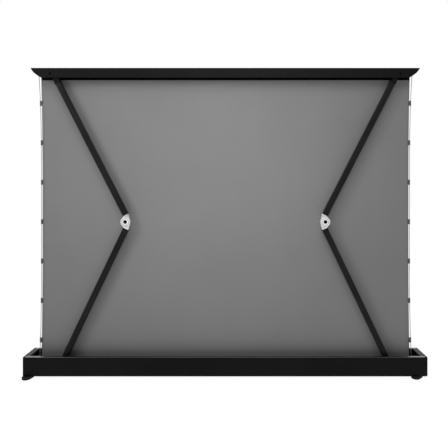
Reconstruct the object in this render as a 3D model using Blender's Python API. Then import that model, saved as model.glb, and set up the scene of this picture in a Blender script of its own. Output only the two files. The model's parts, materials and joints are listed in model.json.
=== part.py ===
# Floor standing projection screen that rises out of a long housing on two folding arms.
# Units are metres, Z is up, the floor is at Z = 0 and the screen's rear faces -Y.
import math

import bmesh
import bpy
from mathutils import Vector
from mathutils.geometry import tessellate_polygon

# Fits
fit_gap = 0.0003
cut_overrun = 0.010
merge_overlap = 0.0008

# Counts
round_steps = 16
fine_round_steps = 32
knee_disc_steps = 24
corner_steps = 3
curve_steps = 14
tab_count = 7

# Overall
screen_height = 1.889
left = -1
right = 1

# Housing
housing_length = 2.450
housing_depth = 0.180
housing_height = 0.116
housing_wall = 0.0025
rim_width = 0.022
rim_lip_height = 0.012
rim_corner_radius = 0.003
screw_port_width = 0.0085
screw_port_bore = 0.0024
slot_lip_thickness = 0.0015
slot_lip_width = 0.0125
slot_depth = 0.0078
floor_plate_thickness = 0.0014
end_plate_thickness = 0.011
end_rim_width = 0.0345
end_corner_radius = 0.004
end_screw_radius = 0.0021
end_screw_head_radius = 0.0042
end_screw_head_height = 0.003

# Feet
foot_lever_height = 0.0147
foot_hub_radius = 0.018
foot_pad_radius = 0.026
foot_lever_reach = 0.035
foot_chamfer = 0.002
foot_pivot_inset = 0.039
foot_pivot_depth = 0.062
foot_turn_outward = 28.0
foot_turn_inward = 58.0
foot_bolt_radius = 0.005
foot_bolt_head_radius = 0.0092
foot_bolt_head_height = 0.004
foot_bolt_recess = 0.002
foot_nut_height = 0.005

# Arms
arm_plane_depth = -0.039
arm_pivot_inset = 0.188
knee_inward = 0.424
folded_pivot_gap = 0.027
arm_tube_width = 0.034
arm_tube_depth = 0.036
arm_tube_wall = 0.002
arm_tube_corner_radius = 0.004
knee_axis_offset = 0.020
top_axis_offset = 0.008
arm_floor_clearance = 0.0018
knuckle_block_length = 0.014
plug_length = 0.036

# Knees
knee_disc_radius = 0.029
knee_block_start = 0.031
knee_block_length = 0.0055
knee_shoulder = 0.0015
knee_cheek_thickness = 0.0053
knee_cheek_gap = 0.0004
knee_pin_radius = 0.006
knee_cap_radius = 0.011
knee_cap_thickness = 0.0024
knee_cap_edge = 0.0008

# Arm pivots in the housing and in the top bar
base_pin_radius = 0.004
base_tongue_radius = 0.010
base_tongue_thickness = 0.012
base_cheek_radius = 0.012
base_cheek_thickness = 0.005
base_cheek_gap = 0.001
base_block_start = 0.032
base_plate_thickness = 0.003
base_plate_inward = 0.020
base_plate_outward = 0.040
base_foot_half_width = 0.016
top_ear_radius = 0.011
top_ear_thickness = 0.005
top_ear_rise = 0.003
top_block_start = 0.028
top_bracket_radius = 0.012
top_bracket_thickness = 0.0038
top_bracket_gap = 0.0004
top_bracket_web = 0.003
top_bracket_inward = 0.020
top_bracket_outward = 0.045

# Lift spring cartridges in the lower arms, and the block that the folded knees lie on
spring_radius = 0.011
spring_length = 0.360
spring_plug_length = 0.020
rest_block_length = 0.200
rest_block_width = 0.024

# Top bar
lid_end_gap = 0.002
lid_proud = 0.004
lid_depth = 0.128
lid_wall = 0.0025
lid_corner_radius = 0.003
rear_skirt_height = 0.060
front_skirt_height = 0.030
lid_end_slant = 0.064
lid_end_bulge = 0.0113
lid_cap_thickness = 0.0025
lid_cap_step_depth = -0.014
lid_screw_outward = 0.033
lid_screw_drop = 0.0335
lid_screw_radius = 0.002
lid_screw_head_radius = 0.0045
lid_screw_head_height = 0.0018
lid_screw_reach = 0.004

# Roller
roller_height = 0.062
roller_tube_radius = 0.0265
roller_tube_wall = 0.0015
roller_end_room = 0.054
wound_radius = 0.0345
wound_inset = 0.0150
roller_plug_length = 0.040
roller_flange_thickness = 0.003
bracket_clearance = 0.0085
bracket_thickness = 0.003
bracket_half_width = 0.020
bracket_foot_length = 0.022
idler_pin_radius = 0.0042
idler_pin_length = 0.045
motor_radius = 0.0225
motor_length = 0.540
motor_shaft_radius = 0.005
motor_shaft_length = 0.018
motor_boss_radius = 0.008
adapter_length = 0.016

# Cloth, tension cords and tabs
cloth_depth = -0.008
cloth_thickness = 0.0008
cloth_inset = 0.0228
cloth_top_spread = 0.0094
cloth_bottom_spread = 0.008
cloth_in_clamp = 0.008
clamp_half_width = 0.006
clamp_height = 0.012
clamp_wall = 0.003
clamp_end_margin = 0.003
cord_radius = 0.00175
cord_stand_off = 0.0066
cord_top_spread = 0.018
cord_bottom_spread = 0.014
cord_sides = 8
tension_power = 4
cord_anchor_width = 0.010
cord_anchor_height = 0.015
cord_in_anchor = 0.008
cord_anchor_clearance = 0.0006
tab_top_height = 1.681
tab_pitch = 0.245
tab_height = 0.032
tab_wall = 0.001
tab_cord_clearance = 0.0009
tab_on_cloth = 0.012

# Power
control_box_length = 0.065
control_box_depth = 0.048
control_box_height = 0.050
control_box_inset = 0.062
control_box_corner_radius = 0.003
inlet_width = 0.026
inlet_height = 0.018
inlet_depth = 0.024
inlet_wall = 0.003
inlet_recess = 0.014
inlet_pin_radius = 0.0012
inlet_pin_spacing = 0.0086
inlet_pin_length = 0.009
inlet_center_depth = -0.030
inlet_center_height = 0.055

# Worked out from the sizes above
housing_bottom = foot_lever_height + fit_gap
rim_height = housing_bottom + housing_height
half_depth = housing_depth / 2
half_length = housing_length / 2
slot_bottom = housing_bottom + slot_lip_thickness
floor_plate_bottom = slot_bottom + fit_gap
floor_top = floor_plate_bottom + floor_plate_thickness
slot_top = floor_top + fit_gap
end_plate_inside = half_length - end_plate_thickness
trough_half_length = half_length - end_rim_width
foot_pivot_side = half_length - foot_pivot_inset
pivot_side = half_length - arm_pivot_inset
knee_side = pivot_side - knee_inward
roller_tube_half_length = end_plate_inside - roller_end_room
bracket_side = roller_tube_half_length + roller_flange_thickness + bracket_clearance
wound_half_length = roller_tube_half_length - wound_inset
cloth_half_width = roller_tube_half_length - cloth_inset
cord_half_distance = cloth_half_width + cord_stand_off
control_box_end = half_length - control_box_inset
trough_half_depth = half_depth - rim_width
base_pivot_height = floor_top + arm_floor_clearance + arm_tube_width / 2 + knee_axis_offset
folded_top_pivot_height = base_pivot_height + folded_pivot_gap
lid_top_above_pivot = rim_height + lid_proud - folded_top_pivot_height
top_pivot_height = screen_height - lid_top_above_pivot
half_rise = (top_pivot_height - base_pivot_height) / 2
arm_reach = math.hypot(pivot_side - knee_side, half_rise)
lower_lean = math.atan2(pivot_side - knee_side, half_rise)
top_pivot_inward = knee_axis_offset + top_axis_offset
upper_lean = lower_lean + math.asin(top_pivot_inward / arm_reach)
upper_reach = math.sqrt(arm_reach ** 2 - top_pivot_inward ** 2)
folded_lean = math.acos(folded_pivot_gap / 2 / arm_reach)
lid_half_length = trough_half_length - lid_end_gap
lid_half_depth = lid_depth / 2
lid_under = screen_height - lid_wall
roller_depth = cloth_depth + cloth_thickness / 2 + fit_gap + wound_radius
knee_block_end = knee_block_start + knee_block_length
tube_low = knee_axis_offset - arm_tube_width / 2
tube_high = knee_axis_offset + arm_tube_width / 2
arm_half_depth = arm_tube_depth / 2


def clear_scene():
    for old in list(bpy.data.objects):
        bpy.data.objects.remove(old, do_unlink=True)


def make_material(name, color, roughness, metallic):
    material = bpy.data.materials.new(name)
    material.use_nodes = True
    shader = material.node_tree.nodes["Principled BSDF"]
    shader.inputs["Base Color"].default_value = (*color, 1.0)
    shader.inputs["Roughness"].default_value = roughness
    shader.inputs["Metallic"].default_value = metallic
    material.diffuse_color = (*color, 1.0)
    return material


def black_anodised_aluminium():
    return make_material("black_anodised_aluminium", (0.012, 0.012, 0.013), 0.42, 0.6)


def black_painted_tube():
    return make_material("black_painted_tube", (0.018, 0.018, 0.019), 0.38, 0.2)


def cast_aluminium():
    return make_material("cast_aluminium", (0.62, 0.62, 0.63), 0.35, 1.0)


def bright_steel():
    return make_material("bright_steel", (0.55, 0.55, 0.56), 0.30, 1.0)


def black_steel():
    return make_material("black_steel", (0.02, 0.02, 0.02), 0.45, 0.8)


def black_plastic():
    return make_material("black_plastic", (0.010, 0.010, 0.011), 0.50, 0.0)


def black_rubber():
    return make_material("black_rubber", (0.014, 0.014, 0.014), 0.80, 0.0)


def grey_screen_cloth():
    return make_material("grey_screen_cloth", (0.25, 0.25, 0.25), 0.85, 0.0)


def pale_cord():
    return make_material("pale_cord", (0.55, 0.55, 0.55), 0.75, 0.0)


def grey_tab_plastic():
    return make_material("grey_tab_plastic", (0.28, 0.28, 0.28), 0.60, 0.0)


# Outlines are lists of (a, b) points, and a placing function turns (a, b, c) into X, Y, Z.


def along_x(a, b, c):
    return (c, a, b)


def along_y(a, b, c):
    return (a, c, b)


def along_z(a, b, c):
    return (a, b, c)


def arm_depthwise(side):
    """Outline of (inward, along), extruded through the arm's depth."""
    return lambda a, b, c: (-side * a, c, b)


def arm_lengthwise(side):
    """Outline of (inward, depth), extruded along the arm."""
    return lambda a, b, c: (-side * a, b, c)


def arc(center, radius, start, end, steps):
    """Points of a circular arc from the start angle to the end angle, in degrees."""
    points = []
    for step in range(steps + 1):
        angle = math.radians(start + (end - start) * step / steps)
        points.append((center[0] + radius * math.cos(angle), center[1] + radius * math.sin(angle)))
    return points


def circle(center, radius, steps=round_steps):
    return arc(center, radius, 0, 360, steps)[:-1]


def rounded_rectangle(low_a, high_a, low_b, high_b, radius):
    points = arc((high_a - radius, high_b - radius), radius, 0, 90, corner_steps)
    points += arc((low_a + radius, high_b - radius), radius, 90, 180, corner_steps)
    points += arc((low_a + radius, low_b + radius), radius, 180, 270, corner_steps)
    points += arc((high_a - radius, low_b + radius), radius, 270, 360, corner_steps)
    return points


def rectangle(low_a, high_a, low_b, high_b):
    return [(low_a, low_b), (high_a, low_b), (high_a, high_b), (low_a, high_b)]


def finish_mesh(build, smooth_angle=35.0):
    """Turns a bmesh into a mesh with its faces outward and its round parts smooth."""
    bmesh.ops.recalc_face_normals(build, faces=build.faces)
    mesh = bpy.data.meshes.new("shape")
    build.to_mesh(mesh)
    build.free()
    mesh.shade_smooth()
    mesh.set_sharp_from_angle(angle=math.radians(smooth_angle))
    return mesh


def prism(outline, low, high, place, holes=()):
    """Closed solid: the outline, less its holes, swept from low to high."""
    build = bmesh.new()
    loops = [outline, *holes]
    lower = [[build.verts.new(place(a, b, low)) for a, b in loop] for loop in loops]
    upper = [[build.verts.new(place(a, b, high)) for a, b in loop] for loop in loops]
    lower_all = [vertex for ring in lower for vertex in ring]
    upper_all = [vertex for ring in upper for vertex in ring]
    if holes:
        flat_loops = [[Vector((a, b, 0)) for a, b in loop] for loop in loops]
        for triangle in tessellate_polygon(flat_loops):
            build.faces.new([lower_all[index] for index in triangle])
            build.faces.new([upper_all[index] for index in reversed(triangle)])
    else:
        build.faces.new(lower_all)
        build.faces.new(list(reversed(upper_all)))
    for lower_ring, upper_ring in zip(lower, upper):
        skin_between(build, lower_ring, upper_ring)
    return finish_mesh(build)


def skin_between(build, ring, next_ring):
    """Quads between two closed rings of as many vertices."""
    count = len(ring)
    for index in range(count):
        following = (index + 1) % count
        build.faces.new((ring[index], ring[following], next_ring[following], next_ring[index]))


def loft(rings, closed=False):
    """Closed solid through rings of as many points; closed joins the last ring to the first."""
    build = bmesh.new()
    vertex_rings = [[build.verts.new(point) for point in ring] for ring in rings]
    for ring, next_ring in zip(vertex_rings, vertex_rings[1:]):
        skin_between(build, ring, next_ring)
    if closed:
        skin_between(build, vertex_rings[-1], vertex_rings[0])
    else:
        build.faces.new(vertex_rings[0])
        build.faces.new(list(reversed(vertex_rings[-1])))
    return finish_mesh(build)


def turned(profile, center, place, closed=False, steps=round_steps):
    """Solid of revolution: profile of (radius, along) turned about a line through center."""
    rings = [[place(a, b, along) for a, b in circle(center, radius, steps)] for radius, along in profile]
    return loft(rings, closed)


def combine(base, tool, operation):
    """Boolean of two meshes, which are used up."""
    base_object = bpy.data.objects.new("base_shape", base)
    tool_object = bpy.data.objects.new("tool_shape", tool)
    for helper in (base_object, tool_object):
        bpy.context.collection.objects.link(helper)
    change = base_object.modifiers.new("combine", "BOOLEAN")
    change.operation = operation
    change.object = tool_object
    bpy.context.view_layer.update()
    evaluated = base_object.evaluated_get(bpy.context.evaluated_depsgraph_get())
    result = bpy.data.meshes.new_from_object(evaluated)
    for helper in (base_object, tool_object):
        bpy.data.objects.remove(helper, do_unlink=True)
    bpy.data.meshes.remove(base)
    bpy.data.meshes.remove(tool)
    return result


def union(*meshes):
    result = meshes[0]
    for mesh in meshes[1:]:
        result = combine(result, mesh, "UNION")
    return result


def cut(mesh, *tools):
    for tool in tools:
        mesh = combine(mesh, tool, "DIFFERENCE")
    return mesh


def add_part(name, mesh, material, parent=None, location=(0, 0, 0), turn=0.0):
    part = bpy.data.objects.new(name, mesh)
    mesh.name = name
    mesh.materials.clear()
    mesh.materials.append(material)
    bpy.context.collection.objects.link(part)
    part.parent = parent
    part.location = location
    part.rotation_euler = (0, 0, turn)
    return part


def add_axis(name, location, lean, parent=None):
    """Empty on a hinge that turns about Y."""
    axis = bpy.data.objects.new(name, None)
    bpy.context.collection.objects.link(axis)
    axis.parent = parent
    axis.location = location
    axis.rotation_euler = (0, lean, 0)
    return axis


# Housing


def wall_profile(side):
    """Cross section in (Y, Z): a wall with its rim on top and a slot for the floor plate below."""
    outer = half_depth
    inner = outer - housing_wall
    lip = outer - rim_width
    rim_under = rim_height - housing_wall
    port = inner - screw_port_width
    corner = (outer - rim_corner_radius, rim_height - rim_corner_radius)
    half = [
        (outer, housing_bottom),
        *arc(corner, rim_corner_radius, 0, 90, corner_steps),
        (lip, rim_height),
        (lip, rim_height - rim_lip_height),
        (lip + housing_wall, rim_height - rim_lip_height),
        (lip + housing_wall, rim_under),
        (port, rim_under),
        (port, rim_under - screw_port_width),
        (inner, rim_under - screw_port_width),
        (inner, slot_top + screw_port_width),
        (port, slot_top + screw_port_width),
        (port, slot_top),
        (outer - slot_lip_width + slot_depth, slot_top),
        (outer - slot_lip_width + slot_depth, slot_bottom),
        (outer - slot_lip_width, slot_bottom),
        (outer - slot_lip_width, housing_bottom),
    ]
    return [(side * a, b) for a, b in half]


def screw_port_centers(side):
    port = half_depth - housing_wall - screw_port_width / 2
    upper = rim_height - housing_wall - screw_port_width / 2
    lower = slot_top + screw_port_width / 2
    return [(side * port, upper), (side * port, lower)]


def make_wall(name, side, material):
    holes = [circle(center, screw_port_bore, round_steps // 3) for center in screw_port_centers(side)]
    reach = end_plate_inside - fit_gap
    add_part(name, prism(wall_profile(side), -reach, reach, along_x, holes), material)


def make_floor_plate(material):
    reach = end_plate_inside - fit_gap
    edge = half_depth - slot_lip_width + slot_depth - fit_gap
    hole_radius = foot_bolt_radius + fit_gap
    holes = [
        circle((side * foot_pivot_side, rear * foot_pivot_depth), hole_radius)
        for side in (left, right)
        for rear in (left, right)
    ]
    plate = prism(rectangle(-reach, reach, -edge, edge), floor_plate_bottom, floor_top, along_z, holes)
    add_part("housing_floor_plate", plate, material)


def inlet_outline(extra):
    return rectangle(
        inlet_center_depth - inlet_width / 2 - extra,
        inlet_center_depth + inlet_width / 2 + extra,
        inlet_center_height - inlet_height / 2 - extra,
        inlet_center_height + inlet_height / 2 + extra,
    )


def make_end_cap(name, side, material):
    outline = rounded_rectangle(-half_depth, half_depth, housing_bottom, rim_height, end_corner_radius)
    holes = [
        circle(center, end_screw_radius + fit_gap, round_steps // 2)
        for rear in (left, right)
        for center in screw_port_centers(rear)
    ]
    if side == right:
        holes.append(inlet_outline(fit_gap))
    plate = prism(outline, side * end_plate_inside, side * half_length, along_x, holes)
    edge = trough_half_depth - fit_gap
    deck_end = end_plate_inside + merge_overlap
    lip_inside = trough_half_length + housing_wall
    deck_outline = [
        (side * trough_half_length, rim_height),
        (side * deck_end, rim_height),
        (side * deck_end, rim_height - housing_wall),
        (side * lip_inside, rim_height - housing_wall),
        (side * lip_inside, rim_height - rim_lip_height),
        (side * trough_half_length, rim_height - rim_lip_height),
    ]
    deck = prism(deck_outline, -edge, edge, along_y)
    recess_depth = end_screw_head_height + fit_gap
    recesses = [
        turned(
            [
                (end_screw_head_radius + fit_gap, side * (half_length - recess_depth)),
                (end_screw_head_radius + fit_gap, side * (half_length + cut_overrun)),
            ],
            center,
            along_x,
            steps=round_steps // 2,
        )
        for rear in (left, right)
        for center in screw_port_centers(rear)
    ]
    add_part(name, cut(union(plate, deck), *recesses), material)


# Feet


def foot_outline(inset):
    """Lever along -Y: an arc about its pivot and a wider one about its pad, joined by straight sides."""
    tilt = math.degrees(math.asin((foot_pad_radius - foot_hub_radius) / foot_lever_reach))
    near = arc((0, 0), foot_hub_radius - inset, tilt, 180 - tilt, round_steps // 2)
    far = arc((0, -foot_lever_reach), foot_pad_radius - inset, 180 - tilt, 360 + tilt, round_steps // 2)
    return near + far


def make_foot(name, side, rear, turn, material):
    heights_and_insets = [
        (0, foot_chamfer),
        (foot_chamfer, 0),
        (foot_lever_height - foot_chamfer / 2, 0),
        (foot_lever_height, foot_chamfer / 2),
    ]
    rings = []
    for height, inset in heights_and_insets:
        rings.append([(a, b, height) for a, b in foot_outline(inset)])
    bore = foot_bolt_radius + fit_gap
    seat = foot_bolt_head_radius + fit_gap
    seat_top = foot_bolt_recess + foot_bolt_head_height + fit_gap
    hole = turned(
        [
            (seat, -cut_overrun),
            (seat, seat_top),
            (bore, seat_top),
            (bore, foot_lever_height + cut_overrun),
        ],
        (0, 0),
        along_z,
    )
    lever = cut(loft(rings), hole)
    place = (side * foot_pivot_side, rear * foot_pivot_depth, 0)
    add_part(name, lever, material, location=place, turn=math.radians(turn))


def make_foot_bolt(name, side, rear, material):
    head_top = foot_bolt_recess + foot_bolt_head_height
    nut_base = floor_top + fit_gap
    profile = [
        (foot_bolt_head_radius, foot_bolt_recess),
        (foot_bolt_head_radius, head_top),
        (foot_bolt_radius, head_top),
        (foot_bolt_radius, nut_base),
        (foot_bolt_head_radius, nut_base),
        (foot_bolt_head_radius, nut_base + foot_nut_height),
    ]
    center = (side * foot_pivot_side, rear * foot_pivot_depth)
    add_part(name, turned(profile, center, along_z), material)


def make_feet(material, bolt_material):
    outward = -foot_turn_outward
    inward = -foot_turn_inward
    corners = [
        ("rear_left", left, left, outward),
        ("rear_right", right, left, inward),
        ("front_right", right, right, 180 + outward),
        ("front_left", left, right, 180 + inward),
    ]
    for word, side, rear, turn in corners:
        make_foot("foot_" + word, side, rear, turn, material)
        make_foot_bolt("foot_bolt_" + word, side, rear, bolt_material)


# Arms. Each arm's own frame has its Z along the arm and its Y through its depth.


def arm_box(side, low_in, high_in, low_along, high_along, half):
    outline = rectangle(low_in, high_in, low_along, high_along)
    return prism(outline, -half, half, arm_depthwise(side))


def arm_bore(side, center, radius):
    reach = arm_half_depth + cut_overrun
    return turned([(radius, -reach), (radius, reach)], center, arm_depthwise(side))


def arm_plug(side, low_in, start, end):
    """Plug that fits in the arm tube, whose outer side starts at low_in."""
    inset = arm_tube_wall + fit_gap
    half = arm_half_depth - inset
    corner = arm_tube_corner_radius - arm_tube_wall
    outline = rounded_rectangle(low_in + inset, low_in + arm_tube_width - inset, -half, half, corner)
    return prism(outline, start, end, arm_lengthwise(side))


def make_arm_tube(name, side, low_in, start, end, parent, material):
    high_in = low_in + arm_tube_width
    outer = rounded_rectangle(low_in, high_in, -arm_half_depth, arm_half_depth, arm_tube_corner_radius)
    wall = arm_tube_wall
    inner_radius = arm_tube_corner_radius - wall
    inner_half = arm_half_depth - wall
    bore = rounded_rectangle(low_in + wall, high_in - wall, -inner_half, inner_half, inner_radius)
    tube = prism(outer, start, end, arm_lengthwise(side), [bore])
    add_part(name, tube, material, parent)


def make_base_knuckle(name, side, parent, material):
    block_end = base_block_start + knuckle_block_length
    tongue_outline = [
        (tube_low, block_end - merge_overlap),
        *arc((0, 0), base_tongue_radius, 180, 330, round_steps // 2),
        (tube_high, block_end - merge_overlap),
    ]
    half = base_tongue_thickness / 2
    tongue = prism(tongue_outline, -half, half, arm_depthwise(side))
    block = arm_box(side, tube_low, tube_high, base_block_start, block_end, arm_half_depth)
    plug = arm_plug(side, tube_low, block_end - merge_overlap, block_end + plug_length)
    bore = arm_bore(side, (0, 0), base_pin_radius + fit_gap)
    add_part(name, cut(union(block, tongue, plug), bore), material, parent)


def touch_angle(point, radius, way):
    """Angle in degrees at which a line from the point touches a circle about zero; way picks the side."""
    spread = math.acos(radius / math.hypot(*point))
    return math.degrees(math.atan2(point[1], point[0]) + way * spread)


def knee_plate_outline(direction, origin):
    """Disc about the knee and the straight sides that run from it to the arm; direction is along the arm."""
    outer_side = (tube_low, knee_block_start + knee_shoulder)
    inner_side = (tube_high, knee_block_start)
    start = touch_angle(outer_side, knee_disc_radius, 1)
    end = touch_angle(inner_side, knee_disc_radius, -1) + 360
    points = [
        (tube_low, knee_block_end),
        outer_side,
        *arc((0, 0), knee_disc_radius, start, end, knee_disc_steps),
        inner_side,
        (tube_high, knee_block_end),
    ]
    return [(a, origin + direction * b) for a, b in points]


def make_knee_casting(name, side, parent, material, direction, origin, fork):
    """Fork or tongue of the knee, its block and the plug that goes into the arm tube."""
    outline = knee_plate_outline(direction, origin)
    inside = arm_half_depth - knee_cheek_thickness
    place = arm_depthwise(side)
    along = sorted([origin + direction * knee_block_start, origin + direction * knee_block_end])
    block = arm_box(side, tube_low, tube_high, along[0], along[1], arm_half_depth)
    plug_start = origin + direction * (knee_block_end - merge_overlap)
    plug_end = origin + direction * (knee_block_end + plug_length)
    plug = arm_plug(side, tube_low, min(plug_start, plug_end), max(plug_start, plug_end))
    if fork:
        near = prism(outline, -arm_half_depth, -inside, place)
        far = prism(outline, inside, arm_half_depth, place)
        body = union(block, near, far, plug)
    else:
        tongue_half = inside - knee_cheek_gap
        body = union(block, prism(outline, -tongue_half, tongue_half, place), plug)
    bore = arm_bore(side, (0, origin), knee_pin_radius + fit_gap)
    add_part(name, cut(body, bore), material, parent)


def make_knee_bolt(name, side, parent, material):
    """Pivot bolt whose wide flat head shows on the rear."""
    seat = -arm_half_depth - fit_gap
    profile = [
        (knee_cap_radius - knee_cap_edge, seat - knee_cap_thickness),
        (knee_cap_radius, seat - knee_cap_thickness + knee_cap_edge),
        (knee_cap_radius, seat),
        (knee_pin_radius, seat),
        (knee_pin_radius, -seat + knee_cap_thickness / 2),
    ]
    add_part(name, turned(profile, (0, arm_reach), arm_depthwise(side)), material, parent)


def make_knee_nut(name, side, parent, material):
    base = arm_half_depth + fit_gap
    bore = knee_pin_radius + fit_gap
    profile = [
        (bore, base),
        (knee_cap_radius, base),
        (knee_cap_radius, base + knee_cap_thickness - knee_cap_edge),
        (knee_cap_radius - knee_cap_edge, base + knee_cap_thickness),
        (bore, base + knee_cap_thickness),
    ]
    add_part(name, turned(profile, (0, arm_reach), arm_depthwise(side), closed=True), material, parent)


def make_spring(name, side, parent, material):
    """Coil cartridge behind the knee's plug, with the end plug that anchors it in the tube."""
    start = arm_reach - knee_block_end - plug_length - fit_gap
    plug_start = start - spring_length
    coil = turned(
        [(spring_radius, plug_start - merge_overlap), (spring_radius, start)],
        (knee_axis_offset, 0),
        arm_lengthwise(side),
    )
    plug = arm_plug(side, tube_low, plug_start - spring_plug_length, plug_start)
    add_part(name, union(plug, coil), material, parent)


def make_top_knuckle(name, side, parent, material):
    """Fork on the upper arm's end; the top pivot lies inward of the tube's own axis."""
    block_end = upper_reach - top_block_start
    block_start = block_end - knuckle_block_length
    corner = (tube_low - top_pivot_inward, top_ear_rise)
    ear_outline = [
        (tube_low, block_end - merge_overlap),
        (tube_low, upper_reach + top_ear_rise),
        *arc((top_pivot_inward, upper_reach), top_ear_radius, touch_angle(corner, top_ear_radius, -1), 0,
             round_steps // 2),
        (tube_high, block_end - merge_overlap),
    ]
    inside = arm_half_depth - top_ear_thickness
    place = arm_depthwise(side)
    near = prism(ear_outline, -arm_half_depth, -inside, place)
    far = prism(ear_outline, inside, arm_half_depth, place)
    block = arm_box(side, tube_low, tube_high, block_start, block_end, arm_half_depth)
    plug = arm_plug(side, tube_low, block_start - plug_length, block_start + merge_overlap)
    bore = arm_bore(side, (top_pivot_inward, upper_reach), base_pin_radius + fit_gap)
    add_part(name, cut(union(block, near, far, plug), bore), material, parent)


def make_arm(word, side):
    """One folding arm; returns the empty on its top pivot."""
    base_place = (side * pivot_side, arm_plane_depth, base_pivot_height)
    base_axis = add_axis("base_axis_" + word, base_place, -side * lower_lean)
    knee_place = (0, 0, arm_reach)
    knee_axis = add_axis("knee_axis_" + word, knee_place, side * (lower_lean + upper_lean), base_axis)
    top_place = (-side * top_pivot_inward, 0, upper_reach)
    top_axis = add_axis("top_axis_" + word, top_place, -side * upper_lean, knee_axis)
    tube_material = black_painted_tube()
    casting = cast_aluminium()
    black_casting = black_anodised_aluminium()
    plate_end = knee_block_end + fit_gap
    lower_start = base_block_start + knuckle_block_length + fit_gap
    upper_end = upper_reach - top_block_start - knuckle_block_length - fit_gap
    make_arm_tube("lower_arm_tube_" + word, side, tube_low, lower_start, arm_reach - plate_end, base_axis,
                  tube_material)
    make_arm_tube("upper_arm_tube_" + word, side, tube_low, plate_end, upper_end, knee_axis, tube_material)
    make_base_knuckle("lower_arm_base_knuckle_" + word, side, base_axis, black_casting)
    make_knee_casting("knee_fork_" + word, side, base_axis, casting, -1, arm_reach, True)
    make_knee_casting("knee_tongue_" + word, side, knee_axis, casting, 1, 0, False)
    make_knee_bolt("knee_bolt_" + word, side, base_axis, black_steel())
    make_knee_nut("knee_nut_" + word, side, base_axis, black_steel())
    make_spring("lift_spring_" + word, side, base_axis, bright_steel())
    make_top_knuckle("upper_arm_top_knuckle_" + word, side, knee_axis, black_casting)
    return top_axis


def make_base_bracket(name, side, material):
    """Two cheeks on a foot plate, in which the lower arm's tongue turns."""
    foot_base = floor_top + fit_gap - base_pivot_height
    foot_top = foot_base + base_plate_thickness
    inside = base_tongue_thickness / 2 + base_cheek_gap
    outside = inside + base_cheek_thickness
    cheek_outline = [
        (-base_foot_half_width, foot_top - merge_overlap),
        *arc((0, 0), base_cheek_radius, 180, 0, round_steps // 2),
        (base_foot_half_width, foot_top - merge_overlap),
    ]
    near = prism(cheek_outline, -outside, -inside, along_y)
    far = prism(cheek_outline, inside, outside, along_y)
    reach = sorted([-side * base_plate_inward, side * base_plate_outward])
    plate = prism(rectangle(*reach, foot_base, foot_top), -arm_half_depth, arm_half_depth, along_y)
    bore = arm_bore(side, (0, 0), base_pin_radius + fit_gap)
    place = (side * pivot_side, arm_plane_depth, base_pivot_height)
    add_part(name, cut(union(plate, near, far), bore), material, location=place)


def make_base_pin(name, side, material):
    half = base_tongue_thickness / 2 + base_cheek_gap + base_cheek_thickness
    pin = turned([(base_pin_radius, -half), (base_pin_radius, half)], (0, 0), along_y)
    add_part(name, pin, material, location=(side * pivot_side, arm_plane_depth, base_pivot_height))


def make_rest_block(material):
    """Block that both folded knees lie on; its height follows the folded arm's slope."""
    slope = math.tan(math.pi / 2 - folded_lean)
    half = rest_block_length / 2
    under_arm = base_pivot_height - tube_high + (pivot_side - half) * slope - fit_gap
    near = arm_plane_depth - rest_block_width / 2
    outline = rectangle(-half, half, near, near + rest_block_width)
    add_part("arm_rest_block", prism(outline, floor_top + fit_gap, under_arm, along_z), material)


# Top bar


def lid_end_curve(drop, inset):
    """Points down the bar's slanted end, from the top to a drop below it, bulging outward."""
    points = []
    for step in range(curve_steps + 1):
        share = step / curve_steps * drop / rear_skirt_height
        bulge = 4 * lid_end_bulge * share * (1 - share)
        side = lid_half_length - lid_end_slant * share + bulge - inset
        points.append((side, screen_height - rear_skirt_height * share))
    return points


def lid_profile():
    """Cross section in (Y, Z): a top plate with a deep rear skirt and a short front one."""
    outer = lid_half_depth
    inner = outer - lid_wall
    rear_low = screen_height - rear_skirt_height
    front_low = screen_height - front_skirt_height
    round_height = screen_height - lid_corner_radius
    return [
        (-outer, rear_low),
        (-inner, rear_low),
        (-inner, lid_under),
        (inner, lid_under),
        (inner, front_low),
        (outer, front_low),
        *arc((outer - lid_corner_radius, round_height), lid_corner_radius, 0, 90, corner_steps),
        *arc((lid_corner_radius - outer, round_height), lid_corner_radius, 90, 180, corner_steps),
    ]


def lid_screw_centers():
    height = screen_height - lid_screw_drop
    return [(side * (pivot_side + lid_screw_outward), height) for side in (left, right)]


def make_top_bar_profile(parent, origin, material):
    bar = prism(lid_profile(), -lid_half_length, lid_half_length, along_x)
    right_end = lid_end_curve(rear_skirt_height, lid_cap_thickness + fit_gap)
    top_side = right_end[0][0]
    low_side, low_height = right_end[-1]
    right_end = [(top_side, screen_height + cut_overrun), *right_end, (low_side, low_height - cut_overrun)]
    left_end = [(-a, b) for a, b in reversed(right_end)]
    reach = lid_half_depth + cut_overrun
    ends = prism(right_end + left_end, -reach, reach, along_y)
    bar = combine(bar, ends, "INTERSECT")
    holes = [
        turned(
            [
                (lid_screw_radius + fit_gap, -lid_half_depth - cut_overrun),
                (lid_screw_radius + fit_gap, arm_plane_depth - arm_half_depth),
            ],
            center,
            along_y,
            steps=round_steps // 2,
        )
        for center in lid_screw_centers()
    ]
    add_part("top_bar_profile", cut(bar, *holes), material, parent, origin)


def make_top_bar_end_cap(name, side, parent, origin, material):
    pieces = []
    depths = [
        (rear_skirt_height, -lid_half_depth, lid_cap_step_depth),
        (front_skirt_height, lid_cap_step_depth - merge_overlap, lid_half_depth),
    ]
    for drop, start, end in depths:
        outline = lid_end_curve(drop, 0) + list(reversed(lid_end_curve(drop, lid_cap_thickness)))
        pieces.append(prism([(side * a, b) for a, b in outline], start, end, along_y))
    add_part(name, union(*pieces), material, parent, origin)


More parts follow.
